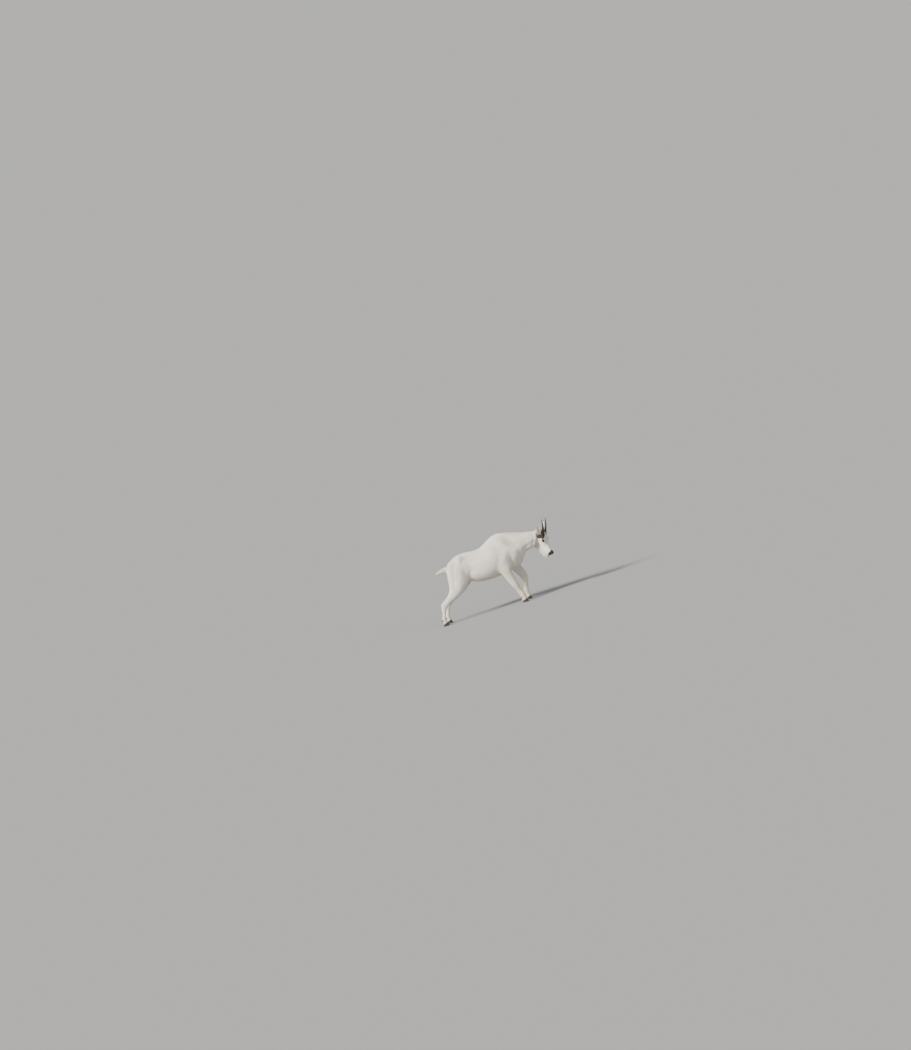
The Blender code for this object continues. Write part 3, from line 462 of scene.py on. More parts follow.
def laid(ways, outward):
    """Directions turned along the skin, at length 1."""
    return unit(ways - outward * np.sum(ways * outward, axis=1, keepdims=True))


def smooth_step(values, low, high):
    """0 below low, 1 above high and a smooth rise between."""
    t = np.clip((values - low) / (high - low), 0, 1)
    return t * t * (3 - 2 * t)


def between(values, start, full, waning, end):
    """0 outside start and end, 1 from full to waning, and smooth between."""
    return smooth_step(values, start, full) * (1 - smooth_step(values, waning, end))


def ripple(points, size, seed, waves=7):
    """A smooth random field from -1 to 1 with hills about as wide as size."""
    rng = np.random.default_rng(seed)
    total = np.zeros(len(points))
    for wave in range(waves):
        direction = rng.normal(size=3)
        direction /= np.linalg.norm(direction)
        pitch = 2 * math.pi / (size * rng.uniform(0.7, 1.6))
        total += np.sin(points @ direction * pitch + rng.uniform(0, 6.3))
    return total / waves * 1.6


def path_distance(points, path):
    """The distance from each point to a broken line."""
    nearest = np.full(len(points), np.inf)
    for a, b in zip(path, path[1:]):
        a = np.array(a)
        step = np.array(b) - a
        t = np.clip((points - a) @ step / (step @ step), 0, 1)
        nearest = np.minimum(nearest, np.linalg.norm(points - a - t[:, None] * step, axis=1))
    return nearest


def eye_axes(side):
    """Directions at one eye: outward along the gaze, forward to the nose, and up to the forehead."""
    gaze = mirrored(EYE_GAZE, side)
    to_nose = Vector((1, 0, -0.10))
    forward = (to_nose - gaze * gaze.dot(to_nose)).normalized()
    upward = gaze.cross(forward) * -side
    return gaze, forward, upward


def eye_position(points, side):
    """Head points seen from one eye: outward, forward, upward, and the share of the opening's height."""
    rel = points - np.array(mirrored(EYE_PLACE, side))
    out, forward, upward = (rel @ np.array(axis) for axis in eye_axes(side))
    reach = np.clip(1 - (forward / EYE_HALF_LENGTH) ** 2, 0, 1) ** 0.65 * EYE_HALF_HEIGHT
    return out, forward, upward, reach


def mouth_level(local):
    """The height of the mouth line beside each head point."""
    beside = np.clip(np.abs(local[:, 1]) / 0.022, 0, 1)
    return MOUTH_HEIGHT + MOUTH_RISE * beside ** 2 + (MOUTH_CORNER + 0.036 - local[:, 0]) * 0.10 * beside


def body_forms(points):
    """How far muscles, bones and folds stand out of the trunk at each point."""
    drawn = to_drawing(points)
    left = drawn[:, 1] > 0
    total = np.zeros(len(points))
    for path, width, height, lead in BODY_FORMS:
        flat = np.stack((drawn[:, 0] - lead * left, drawn[:, 2]), axis=1)
        total += height * np.exp(-(path_distance(flat, path) / width) ** 2)
    return total * smooth_step(np.abs(drawn[:, 1]), 0.012, 0.045) * (1 - 0.8 * in_head(points))


def in_head(points):
    """0 on the neck and body, 1 on the head, with a soft border behind the ears."""
    rel = to_drawing(points) - np.array(HEAD_BORDER)
    ahead = rel @ np.array(HEAD_BORDER_WAY) / math.sqrt(sum(part ** 2 for part in HEAD_BORDER_WAY))
    return smooth_step(ahead, -0.045, 0.04) * (points[:, 0] > SHIFT.x + 1.05)


def coat_sizes(points):
    """Depth, tuft length and tuft width of the coat at each point."""
    local = to_head(points)
    head = in_head(points)[:, None]
    low = smooth_step(points[:, 2], 0.24, 0.46)[:, None]
    face = smooth_step(local[:, 0], 0.06, 0.24)[:, None]
    muzzle = smooth_step(local[:, 0], 0.21, 0.28)[:, None]
    body = np.array(LEG_COAT) * (1 - low) + np.array(TRUNK_COAT) * low
    body[:, 0] *= 1 - 0.75 * (1 - smooth_step(points[:, 2], 0.05, 0.08))
    cheek = np.array(CHEEK_COAT) * (1 - 0.35 * face)
    front = cheek * (1 - muzzle) + np.array(MUZZLE_COAT) * muzzle
    return body * (1 - head) + front * head


def head_shapes():
    """Skull, cheeks, brows, muzzle, lips and the flesh under the beard, placed in the world."""
    shapes = []
    for rows in (SKULL, BEARD_CORE):
        rings = []
        for x, top, bottom, *outline in blend_rows(rows):
            rings.append(section(Vector((x, 0, top)), Vector((x, 0, bottom)), *outline))
        shapes.append(loft(rings))
    for centre, half_sizes in HEAD_FORMS:
        for side in (-1, 1):
            shapes.append(ellipsoid(mirrored(centre, side), half_sizes))
    for shape in shapes:
        shape.transform(HEAD)
    return shapes


def limb_shape(rows):
    """A tapering form through sections given by their front and rear points."""
    rings = []
    for tx, tz, bx, bz, half_width, y in blend_rows(rows):
        rings.append(section(Vector((tx, y, tz)), Vector((bx, y, bz)), half_width))
    shape = loft(rings)
    shape.transform(Matrix.Translation(SHIFT))
    return shape


def packed_shapes():
    """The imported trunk, neck and legs, as they are."""
    shapes = []
    for name in FLESH_NODES:
        if name not in ("head", "tail"):
            shape = bmesh.new()
            shape.from_mesh(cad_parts[name].data)
            shapes.append(shape)
    return shapes


def weigh(thing, name, shares):
    """Gives each point of an object its share in a named group."""
    group = thing.vertex_groups.new(name=name)
    levels = np.round(np.clip(shares, 0, 1) * 20).astype(int)
    for level in range(21):
        chosen = np.nonzero(levels == level)[0]
        if len(chosen):
            group.add(chosen.tolist(), level / 20, "REPLACE")


def positions(mesh):
    """A mesh's points as an array."""
    flat = np.empty(len(mesh.vertices) * 3)
    mesh.vertices.foreach_get("co", flat)
    return flat.reshape(-1, 3)


def move_points(thing, points):
    """Puts an object's points at new places."""
    thing.data.vertices.foreach_set("co", points.ravel())
    thing.data.update()


def normals(mesh):
    """A mesh's point normals as an array."""
    flat = np.empty(len(mesh.vertices) * 3, np.float32)
    mesh.vertex_normals.foreach_get("vector", flat)
    return flat.reshape(-1, 3).astype(float)


def refine(thing, chosen):
    """Divides the faces between the chosen points once."""
    shape = bmesh.new()
    shape.from_mesh(thing.data)
    shape.verts.ensure_lookup_table()
    edges = [e for e in shape.edges if chosen[e.verts[0].index] and chosen[e.verts[1].index]]
    bmesh.ops.subdivide_edges(shape, edges=edges, cuts=1, smooth=0.5, use_grid_fill=True)
    bmesh.ops.triangulate(shape, faces=shape.faces)
    shape.to_mesh(thing.data)
    shape.free()


def fuse(thing, voxel):
    """Joins all shapes of an object in one even surface."""
    joined = thing.modifiers.new("fuse", "REMESH")
    joined.mode = "VOXEL"
    joined.voxel_size = voxel
    settle(thing)


def spread(values, edges, turns, share):
    """Evens out values along the edges of a mesh."""
    a, b = edges.T
    count = len(values)
    near = np.bincount(edges.ravel(), minlength=count)[:, None]
    values = values.copy()
    for turn in range(turns):
        sums = [
            np.bincount(a, values[b, k], count) + np.bincount(b, values[a, k], count)
            for k in range(values.shape[1])
        ]
        values += 0.5 * share[:, None] * (np.stack(sums, axis=1) / near - values)
    return values


def edge_ends(mesh):
    """The two points of each edge."""
    edges = np.empty(len(mesh.edges) * 2, np.int32)
    mesh.edges.foreach_get("vertices", edges)
    return edges.reshape(-1, 2)


def even_face(skin):
    """Blends the forms of brow, cheek and jaw, away from the eyes, horns and muzzle.

    The second pass gives back most of the size that evening out takes away.
    """
    points = positions(skin.data)
    local = to_head(points)
    share = in_head(points) * smooth_step(local[:, 0], 0.085, 0.120)
    share *= 1 - smooth_step(local[:, 0], 0.222, 0.245)
    for side in (-1, 1):
        rel = local - np.array(mirrored(EYE_PLACE, side))
        away = np.linalg.norm(rel, axis=1)
        facing = rel @ np.array(mirrored(EYE_GAZE, side)) / np.maximum(away, 1e-6)
        share *= 1 - (1 - smooth_step(away, 0.020, 0.028)) * smooth_step(facing, 0.15, 0.5)
    near = share > 0
    edges = edge_ends(skin.data)
    edges = edges[near[edges].any(axis=1)]
    kept, edges = np.unique(edges, return_inverse=True)
    edges = edges.reshape(-1, 2)
    rough, share = points[kept], share[kept]
    smoothed = spread(rough, edges, FACE_SMOOTHING, share)
    points[kept] = smoothed + 0.8 * spread(rough - smoothed, edges, FACE_SMOOTHING, share)
    move_points(skin, points)


def build_body():
    """Trunk, neck and legs in one even form, sunk by the depth of the coat.

    What the first evening out takes away is evened out too and given back.
    """
    body = to_object("body", packed_shapes() + [limb_shape(NAPE)])
    fuse(body, BODY_VOXEL)
    points = positions(body.data)
    edges = edge_ends(body.data)
    share = 0.15 + 0.85 * smooth_step(points[:, 2], 0.24, 0.40)
    smoothed = spread(points, edges, BODY_SMOOTHING, share)
    points = smoothed + spread(points - smoothed, edges, BODY_SMOOTHING, share)
    move_points(body, points)
    outward = spread(normals(body.data), edges, 4, np.ones(len(points)))
    points -= outward * coat_sizes(points)[:, :1]
    move_points(body, points)
    finer = body.modifiers.new("finer", "SUBSURF")
    finer.levels = 1
    finer.render_levels = 1
    settle(body)
    return body


def build_skin():
    """One skin over the whole goat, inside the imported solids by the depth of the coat."""
    body = build_body()
    shape = bmesh.new()
    shape.from_mesh(body.data)
    bpy.data.objects.remove(body)
    skin = to_object("skin", [shape] + head_shapes() + [limb_shape(TAIL)])
    fuse(skin, SKIN_VOXEL)
    soften = skin.modifiers.new("soften", "SMOOTH")
    soften.factor = 0.5
    soften.iterations = SKIN_SMOOTHING
    settle(skin)
    even_face(skin)
    weigh(skin, "thin", 1 - 0.85 * in_head(positions(skin.data)))
    thin = skin.modifiers.new("thin", "DECIMATE")
    thin.ratio = min(1, SKIN_TRIANGLES / (2 * len(skin.data.polygons)))
    thin.vertex_group = "thin"
    thin.vertex_group_factor = 1.0
    settle(skin)
    keep_largest(skin)
    for margin in (0.225, 0.262):
        local = to_head(positions(skin.data))
        close = local[:, 0] > margin
        for side in (-1, 1):
            close |= np.linalg.norm(local - np.array(mirrored(EYE_PLACE, side)), axis=1) < 0.023
        refine(skin, close)
    sink_skin(skin)
    skin.vertex_groups.clear()
    return skin


def press_eye(local, side):
    """Sinks the skin behind one eye's opening."""
    out, forward, upward, reach = eye_position(local, side)
    inside = smooth_step(reach - np.abs(upward), -0.0004, 0.0008) * (out > 0) * (out < 0.03)
    inside *= np.abs(forward) < EYE_HALF_LENGTH
    depth = np.clip(out - EYE_RADIUS * 0.25, 0, 1) * inside
    local -= depth[:, None] * np.array(eye_axes(side)[0])


def press_nostril(local, facing, side):
    """Sinks one nostril, shaped like a comma, and raises a rim beside it."""
    path = [(x, side * y, z) for x, y, z in NOSTRIL_PATH]
    away = path_distance(local, path)
    inner = path_distance(local, path[:3])
    pit = 0.0034 * np.exp(-(away / 0.0019) ** 2) + 0.0062 * np.exp(-(inner / 0.0031) ** 2)
    rim = 0.0012 * np.exp(-((away - 0.0052) / 0.0018) ** 2)
    rim *= smooth_step(local[:, 2], MOUTH_HEIGHT + 0.010, MOUTH_HEIGHT + 0.022)
    local -= pit[:, None] * np.array((0.86, 0.45 * side, 0.10))
    local += rim[:, None] * facing


def press_mouth(local, facing):
    """Sinks the line of the mouth and the parting of the upper lip, and rounds the lips."""
    off = local[:, 2] - mouth_level(local)
    along = smooth_step(local[:, 0], MOUTH_CORNER - 0.002, MOUTH_CORNER + 0.010)
    groove = 0.0030 * np.exp(-(off / 0.0013) ** 2) * along
    lips = 0.0012 * np.exp(-((np.abs(off) - 0.0042) / 0.0024) ** 2) * along
    parting = 0.0016 * np.exp(-(local[:, 1] / 0.0011) ** 2) * smooth_step(local[:, 0], 0.284, 0.292)
    parting *= smooth_step(local[:, 2], MOUTH_HEIGHT + 0.003, MOUTH_HEIGHT + 0.008)
    local += (lips - groove - parting)[:, None] * facing


def sink_skin(skin):
    """Moves the skin in by the coat's depth and presses eye openings, nostrils and mouth into it."""
    points = positions(skin.data)
    outward = normals(skin.data)
    points += outward * (body_forms(points) - coat_sizes(points)[:, 0] * in_head(points))[:, None]
    local = to_head(points)
    facing = outward @ HEAD_AXES
    for side in (-1, 1):
        press_eye(local, side)
        press_nostril(local, facing, side)
    press_mouth(local, facing)
    changed = in_head(points) > 0.9
    points[changed] = from_head(local[changed])
    move_points(skin, points)


def markings(points):
    """Shares of black skin, dark hair with painted shade under the ear and at the muzzle end, and cream
    tint at each point.
    """
    local = to_head(points)
    head = in_head(points)
    even = on_left(local)
    wobble = ripple(local, 0.012, 3) * 0.0022
    nostril = path_distance(even, NOSTRIL_PATH)
    # Dark muzzle front: the dark nose with the shade of the muzzle end painted in
    edge = np.interp(local[:, 2], (-0.085, -0.072, -0.055, -0.030), (0.279, 0.273, 0.263, 0.257))
    nose = smooth_step(local[:, 0] + wobble - edge, -0.004, 0.004)
    nose *= smooth_step(local[:, 2], -0.098, -0.090)
    bare = smooth_step(local[:, 0] + wobble - edge, 0.018, 0.023)
    bare *= smooth_step(local[:, 2], -0.081, -0.076)
    lips = np.exp(-((local[:, 2] - mouth_level(local)) / 0.0026) ** 4)
    lips *= smooth_step(local[:, 0], MOUTH_CORNER - 0.001, MOUTH_CORNER + 0.012)
    black = np.maximum(np.maximum(bare, lips), 1 - smooth_step(nostril, 0.0040, 0.0070))
    # Dark share starts from the muzzle front, with its painted shade
    dark = nose
    # Dark paths: dark brown hair, with the ear's cast shadow painted in along the band behind and under
    # the ear
    for path, width in DARK_PATHS:
        away = path_distance(even, path) + wobble
        dark = np.maximum(dark, 1 - smooth_step(away, width * 0.72, width * 1.2))
    drawn = to_drawing(points)
    cream = 0.35 + 0.25 * ripple(drawn, 0.22, 5) + 0.15 * ripple(drawn, 0.06, 6)
    cream += 0.45 * (1 - smooth_step(drawn[:, 2], 0.05, 0.30)) * (1 - head)
    below = (1 - smooth_step(drawn[:, 2], 0.36, 0.46)) * smooth_step(drawn[:, 0], 0.35, 0.5)
    cream += 0.35 * below * (1 - head)
    from_lip = np.linalg.norm(even - np.array((0.272, 0.016, -0.088)), axis=1)
    tan = np.exp(-(from_lip / 0.016) ** 2) * head
    return np.stack((black * head, dark * head, np.clip(cream + 1.2 * tan, 0, 1.3)), axis=1)


def part_round_eye(face, local, side):
    """The lie of the face's hair, parted so that it flows round one eye."""
    out, forward, upward, reach = eye_position(local, side)
    gaze, ahead, above = (np.array(axis) for axis in eye_axes(side))
    place = np.stack((forward / EYE_PARTING_STRETCH, upward), axis=1)
    away = np.maximum(np.linalg.norm(place, axis=1), 1e-6)
    flow = np.stack((face @ ahead, face @ above), axis=1)
    toward = np.sum(flow * place, axis=1) / away ** 2
    share = np.minimum(1, (EYE_PARTING / away) ** 2) * (out > 0)
    turned = (flow - 2 * toward[:, None] * place) * share[:, None]
    return face + turned[:, :1] * ahead + turned[:, 1:] * above


def lie_of_body(drawn):
    """The direction that the coat lies in on trunk, neck and legs."""
    x, y, z = drawn.T
    total = np.zeros_like(drawn)
    for (cx, cz), size, (dx, dz) in COAT_FLOWS:
        pull = np.exp(-((x - cx) ** 2 + (z - cz) ** 2) / (2 * size ** 2)) + 1e-9
        total += pull[:, None] * np.array((dx, 0, dz))
    total = unit(total)
    low = 1 - smooth_step(z, 0.30, 0.38)
    return total * (1 - low[:, None]) + np.array((-0.03, 0, -1.0)) * low[:, None]


def lie_of_face(local):
    """The direction that the coat lies in on the head: back from the nose, down on cheeks and throat."""
    cheek = smooth_step(-local[:, 2], 0.03, 0.09)
    rear = 1 - smooth_step(local[:, 0], 0.02, 0.10)
    aside = 0.20 * np.sign(local[:, 1]) * (1 - cheek) * rear
    face = np.stack((-1 + 0.25 * cheek, aside, -0.75 * cheek), axis=1)
    for side in (-1, 1):
        face = part_round_eye(face, local, side)
    hanging = smooth_step(-local[:, 2], 0.10, 0.125)
    face = face @ HEAD_AXES.T
    return face * (1 - hanging[:, None]) + np.array((-0.2, 0, -1.0)) * hanging[:, None]


def lie_of_coat(points, outward):
    """The direction that the coat lies in at each point, along the skin."""
    drawn = to_drawing(points)
    head = in_head(points)[:, None]
    total = lie_of_body(drawn) * (1 - head) + lie_of_face(to_head(points)) * head
    swirl = np.stack([ripple(drawn, 0.07, 20 + k) for k in range(3)], axis=1)
    return laid(total + 0.12 * swirl, outward)


def scatter(mesh, count, weight_of, seed):
    """Points spread evenly over a mesh by weight, with their normals."""
    mesh.calc_loop_triangles()
    corners = np.empty(len(mesh.loop_triangles) * 3, np.int32)
    mesh.loop_triangles.foreach_get("vertices", corners)
    corners = corners.reshape(-1, 3)
    points = positions(mesh)
    outward = normals(mesh)
    a, b, c = (points[corners[:, k]] for k in range(3))
    area = np.linalg.norm(np.cross(b - a, c - a), axis=1) / 2
    middle = (a + b + c) / 3
    weight = area * weight_of(middle)
    cell = np.floor(middle / 0.02).astype(int)
    order = np.lexsort((middle[:, 0], cell[:, 1], cell[:, 2], cell[:, 0]))
    reach = np.cumsum(weight[order])
    rng = np.random.default_rng(seed)
    marks = (np.arange(count) + rng.uniform(0, 1, count)) / count * reach[-1]
    chosen = order[np.searchsorted(reach, marks).clip(0, len(order) - 1)]
    u, v = rng.uniform(0, 1, (2, count))
    over = u + v > 1
    u[over], v[over] = 1 - u[over], 1 - v[over]
    shares = np.stack((1 - u - v, u, v), axis=1)[:, :, None]
    roots = (points[corners[chosen]] * shares).sum(axis=1)
    up = (outward[corners[chosen]] * shares).sum(axis=1)
    return roots, unit(up)


def unwrap(points, along):
    """Places on an unwrap: how far along a limb or the trunk, and the angle round its middle line."""
    length = points @ along
    first, last = length.min(), length.max()
    share = (length - first) / max(last - first, 1e-6)
    slots = np.clip((share * UNWRAP_SLOTS).astype(int), 0, UNWRAP_SLOTS - 1)
    across = np.cross(along, (0, 1, 0)) if abs(along[1]) < 0.9 else np.array((1.0, 0, 0))
    other = np.cross(along, across)
    flat = np.stack((points @ across, points @ other), axis=1)
    known = np.unique(slots)
    middles = np.array([flat[slots == k].mean(axis=0) for k in known])
    places = (known + 0.5) / UNWRAP_SLOTS
    centre = np.stack([np.interp(share, places, middles[:, k]) for k in range(2)], axis=1)
    rel = flat - centre
    return np.stack((np.arctan2(rel[:, 1], rel[:, 0]) / (2 * math.pi) + 0.5, share), axis=1)


def regions(points):
    """The region of each point: 0 trunk, 1 neck, 2 head, 3 tail, then the four legs."""
    drawn = to_drawing(points)
    x, y, z = drawn.T
    found = np.zeros(len(points), int)
    found[(x > 0.975 + (z - 0.62) * -0.27) & (z > 0.40)] = 1
    found[in_head(points) > 0.5] = 2
    found[(x < 0.163) & (z > 0.535)] = 3
    leg = z < 0.34 + 0.4 * np.clip(np.abs(y) - 0.045, 0, 0.1)
    found[leg] = (4 + 2 * (x <= 0.5) + (y >= 0))[leg]
    return found


def bake_places(points):
    """Each root's place on an unwrap of the skin, region by region."""
    found = regions(points)
    places = np.zeros((len(points), 2))
    for region, (name, corner, size) in enumerate(REGIONS):
        along = (1.0, 0, 0) if region < 4 else (0, 0, 1.0)
        if name == "head":
            along = HEAD_AXES[:, 0]
        chosen = found == region
        if chosen.any():
            flat = unwrap(points[chosen], np.array(along))
            places[chosen] = corner + (0.004 + flat * 0.992) * size
    return places


def tuft_faces(segments):
    """The triangles of one three-sided lock that ends in a point."""
    faces = []
    for k in range(segments - 1):
        for j in range(3):
            a, b = 3 * k + j, 3 * k + (j + 1) % 3
            faces += [(b, a, b + 3), (b + 3, a, a + 3)]
    top = 3 * (segments - 1)
    tip = 3 * segments
    faces += [(top + 1, top, tip), (top + 2, top + 1, tip), (top, top + 2, tip)]
    return np.array(faces)


def tuft_mesh(
    name, roots, outward, lie, lengths, widths, heights, tones, segments=2, droop=0.0, places=None
):
    """Tapered three-sided locks from the roots along the lie, as one object."""
    places = bake_places(roots) if places is None else places
    across = unit(np.cross(outward, lie))
    own_up = np.cross(lie, across)
    hanging = segments > 2
    crest = 0.6 if hanging else 0.45
    co = np.empty((len(roots), 3 * segments + 1, 3))
    own = np.empty_like(co)
    uv = np.empty((*co.shape[:2], 2))
    lift = heights[:, None]
    length = lengths[:, None]
    for k in range(segments + 1):
        t = k / segments
        rise = lift * (math.sin(math.pi * 0.88 * t) - 0.18 * (1 - t))
        spine = roots + lie * length * t + outward * rise + np.array(GRAVITY) * length * droop * t * t
        width = widths[:, None] * TUFT_TAPER[round(4 * t)] / 2
        if k == segments:
            co[:, -1] = spine
            own[:, -1] = own_up if hanging else outward
            uv[:, -1] = places + (0, BAKE_PATCH / 2)
            break
        for j, (aside, above) in enumerate(((-1, 0.0), (0, crest), (1, 0.0))):
            co[:, 3 * k + j] = spine + across * width * aside + outward * width * above
            if hanging:
                own[:, 3 * k + j] = own_up * (above + 0.25) + across * aside * 0.7
            else:
                own[:, 3 * k + j] = outward + across * aside * 0.35
            uv[:, 3 * k + j] = places + (aside * BAKE_PATCH / 2, (t - 0.5) * BAKE_PATCH)
    under = -own_up if hanging else -outward
    return write_mesh(name, co, own, under, uv, tuft_faces(segments), markings(roots), tones)


def write_mesh(name, co, own, under, uv, faces, marks, tones):
    """Many like shapes in one mesh, with shading normals above and below, bake map and markings."""
    count, size = co.shape[:2]
    corners = (faces[None] + (np.arange(count) * size)[:, None, None]).reshape(-1)
    mesh = bpy.data.meshes.new(name)
    mesh.vertices.add(count * size)
    mesh.vertices.foreach_set("co", co.astype(np.float32).ravel())
    mesh.loops.add(len(corners))
    mesh.loops.foreach_set("vertex_index", corners.astype(np.int32))
    mesh.polygons.add(len(corners) // 3)
    mesh.polygons.foreach_set("loop_start", np.arange(0, len(corners), 3, dtype=np.int32))
    mesh.update(calc_edges=True)
    mesh.shade_smooth()
    layer = mesh.uv_layers.new(name="OFBake")
    layer.data.foreach_set("uv", uv.reshape(-1, 2)[corners].astype(np.float32).ravel())
    for mark, shares in zip(MARKS, marks.T):
        paint_values(mesh, mark, np.repeat(shares, size))
    paint_values(mesh, "tone", np.repeat(tones, size))
    seen = unit(own)[:, faces]
    beneath = ~np.any((faces % 3 == 1) & (faces < size - 1), axis=1)
    seen[:, beneath] = under[:, None, None, :]
    mesh.normals_split_custom_set(seen.reshape(-1, 3).tolist())
    return in_scene(name, mesh)


def paint_values(mesh, name, values):
    """Stores one number a point under a name, for the materials."""
    layer = mesh.attributes.new(name, "FLOAT", "POINT")
    layer.data.foreach_set("value", values.astype(np.float32))


def mark_mesh(thing, black=None):
    """Gives a skin its markings, point by point, with its own black share where that is given."""
    marks = markings(positions(thing.data))
    if black is not None:
        marks[:, 0] = black
    for mark, shares in zip(MARKS, marks.T):
        paint_values(thing.data, mark, shares)
    paint_values(thing.data, "tone", np.full(len(marks), 0.5))


def bare_places(points):
    """True where no hair grows: nose, lips, eye openings, horn roots and hooves."""
    local = to_head(points)
    even = on_left(local)
    bare = markings(points)[:, 0] > 0.35
    out, forward, upward, reach = eye_position(even, 1)
    opening = (np.abs(upward) < reach + 0.0022) & (np.abs(forward) < EYE_HALF_LENGTH + 0.002)
    bare |= opening & (out > 0) & (out < 0.03)
    bare |= path_distance(even, (HORN_BASE, HORN_MIDDLE)) < HORN_RADIUS - 0.001
    bare |= path_distance(even, (EAR_BASE, EAR_TIP)) < 0.006
    return bare


def coat_weight(points):
    """How many tufts a place takes."""
    sizes = coat_sizes(points)
    head = in_head(points)
    return (0.75 + 0.55 * head) / (sizes[:, 1] * sizes[:, 2]) * ~bare_places(points)


def build_coat(skin):
    """The short coat over the whole skin, in several pieces."""
    roots, outward = scatter(skin.data, COAT_TUFTS, coat_weight, 11)
    keep = ~bare_places(roots)
    roots, outward = roots[keep], outward[keep]
    rng = np.random.default_rng(12)
    count = len(roots)
    lie = laid(lie_of_coat(roots, outward) + 0.085 * rng.normal(size=(count, 3)), outward)
    depth, length, width = coat_sizes(roots).T
    clump = ripple(roots, 0.035, 31)
    length = length * (1 + 0.20 * clump) * rng.uniform(0.75, 1.2, count)
    width = width * rng.uniform(0.7, 1.25, count)
    height = depth * rng.uniform(0.34, 0.66, count) * (1 + 0.15 * clump)
    above_floor = np.clip((roots[:, 2] - 0.012) / np.maximum(-lie[:, 2], 0.05), 0.002, 1)
    length = np.minimum(length, above_floor)
    tones = np.clip(0.5 + 0.22 * rng.normal(size=count) + 0.15 * clump, 0, 1)
    places = bake_places(roots)
    group = regions(roots)
    pieces = []
    for region, (word, corner, size) in enumerate(REGIONS):
        chosen = np.nonzero(group == region)[0]
        parts = max(1, math.ceil(len(chosen) / TUFTS_A_PIECE))
        chosen = chosen[np.argsort(roots[chosen, 0], kind="stable")]
        for number, part in enumerate(np.array_split(chosen, parts)):
            if len(part):
                own = (values[part] for values in (roots, outward, lie, length, width, height, tones))
                pieces.append(tuft_mesh(f"coat_{word}_{number + 1}", *own, places=places[part]))
    return pieces


def long_tufts(name, roots, outward, tips, width, height, droop, segments, seed):
    """Longer locks from roots to tips, bent down by their weight."""
    rng = np.random.default_rng(seed)
    count = len(roots)
    lie = tips - roots
    lengths = np.linalg.norm(lie, axis=1)
    tones = np.clip(0.6 + 0.2 * rng.normal(size=count), 0, 1)
    widths = width * rng.uniform(0.7, 1.3, count)
    heights = np.full(count, height)
    return tuft_mesh(name, roots, outward, unit(lie), lengths, widths, heights, tones, segments, droop)


def gathered(roots, tips, clumps, pull, rng):
    """Tips drawn together in clumps."""
    middles = rng.choice(len(roots), clumps, replace=False)
    away = np.linalg.norm(roots[:, None] - roots[middles][None], axis=2)
    return tips + (tips[middles[away.argmin(axis=1)]] - tips) * pull


def aimed(roots, outward, aim, length, spread, rng):
    """Tips at about one length from the roots, about one way."""
    way = unit(np.array(aim) + spread * rng.normal(size=roots.shape) + outward * 0.12)
    return roots + way * length * rng.uniform(0.7, 1.1, (len(roots), 1))


def beard_tips(roots, rng):
    """Where the hairs of the beard end: further down the jaw, on the line of its edge."""
    local = to_head(roots)
    count = len(local)
    x = local[:, 0] + 0.044 * rng.uniform(0.55, 1.25, count)
    line = np.array(BEARD_EDGE).T
    uneven = 0.0035 * np.sin(x * 260) + 0.0030 * np.sin(x * 140 + local[:, 1] * 90)
    z = np.interp(x, *line) + np.abs(local[:, 1]) * 0.6
    z += 0.026 * rng.uniform(0, 1, count) ** 1.5
    z += uneven + 0.003
    y = local[:, 1] * 1.05 + 0.0022 * rng.normal(size=count)
    return from_head(np.stack((x, y, z), axis=1))


def jaw_place(points):
    """The flesh under the beard, along the lower jaw and throat."""
    local = to_head(points)
    x, y, z = local.T
    on = in_head(points) * between(x, 0.012, 0.045, 0.262, 0.275)
    jaw = np.interp(x, (0.0, 0.075, 0.14, 0.215, 0.275), (-0.112, -0.138, -0.128, -0.106, -0.094))
    return on * (z < jaw + 0.010) * (np.abs(y) < 0.026)


def tail_place(points):
    """The whole tail."""
    drawn = to_drawing(points)
    return ((drawn[:, 0] < 0.165) & (drawn[:, 2] > 0.535)).astype(float)


def coronet_place(points):
    """The ring of skin just above the claws, and the places above the dewclaws."""
    drawn = to_drawing(points)
    ring = np.zeros(len(points))
    for kind, side, word, toe, y in FEET:
        heel = toe - CLAW_LENGTH
        near = (np.abs(drawn[:, 0] - heel - 0.025) < 0.06) & (np.abs(drawn[:, 1] - side * y) < 0.05)
        along = np.clip((drawn[:, 0] - heel) / CLAW_LENGTH, 0, 1)
        above = points[:, 2] - CLAW_REAR_HEIGHT
        above -= (CLAW_FRONT_HEIGHT - CLAW_REAR_HEIGHT) * along
        ring += near * (above > -0.001) * (1 - smooth_step(above, 0.014, 0.034))
        for outward in (-1, 1):
            spur = Vector((heel + 0.008, side * y + outward * DEWCLAW_SPACING / 2, 0.078)) + SHIFT
            ring += np.linalg.norm(points - np.array(spur), axis=1) < 0.012
    return ring


def poll_place(points):
    """The crown between and behind the horns."""
    local = to_head(points)
    x, y, z = local.T
    return in_head(points) * between(x, 0.0, 0.02, 0.05, 0.065) * (np.abs(y) < 0.026) * (z > -0.05)


def build_beard(skin, rng):
    """Fine hair along jaw and throat, gathered in locks that hang sideways off the middle."""
    roots, outward = scatter(skin.data, int(BEARD_TUFTS * LONG_SHARE), jaw_place, 41)
    tips = gathered(roots, gathered(roots, beard_tips(roots, rng), 34, 0.38, rng), 260, 0.45, rng)
    off_middle = to_head(roots)[:, 1] + 0.002 * rng.normal(size=len(roots))
    beside = np.where(off_middle < 0, -1.0, 1.0)
    sideways = outward * 0.35 + beside[:, None] * HEAD_AXES[:, 1]
    return long_tufts("beard", roots, sideways, tips, 0.0021, 0.0016, 0.05, 4, 42)


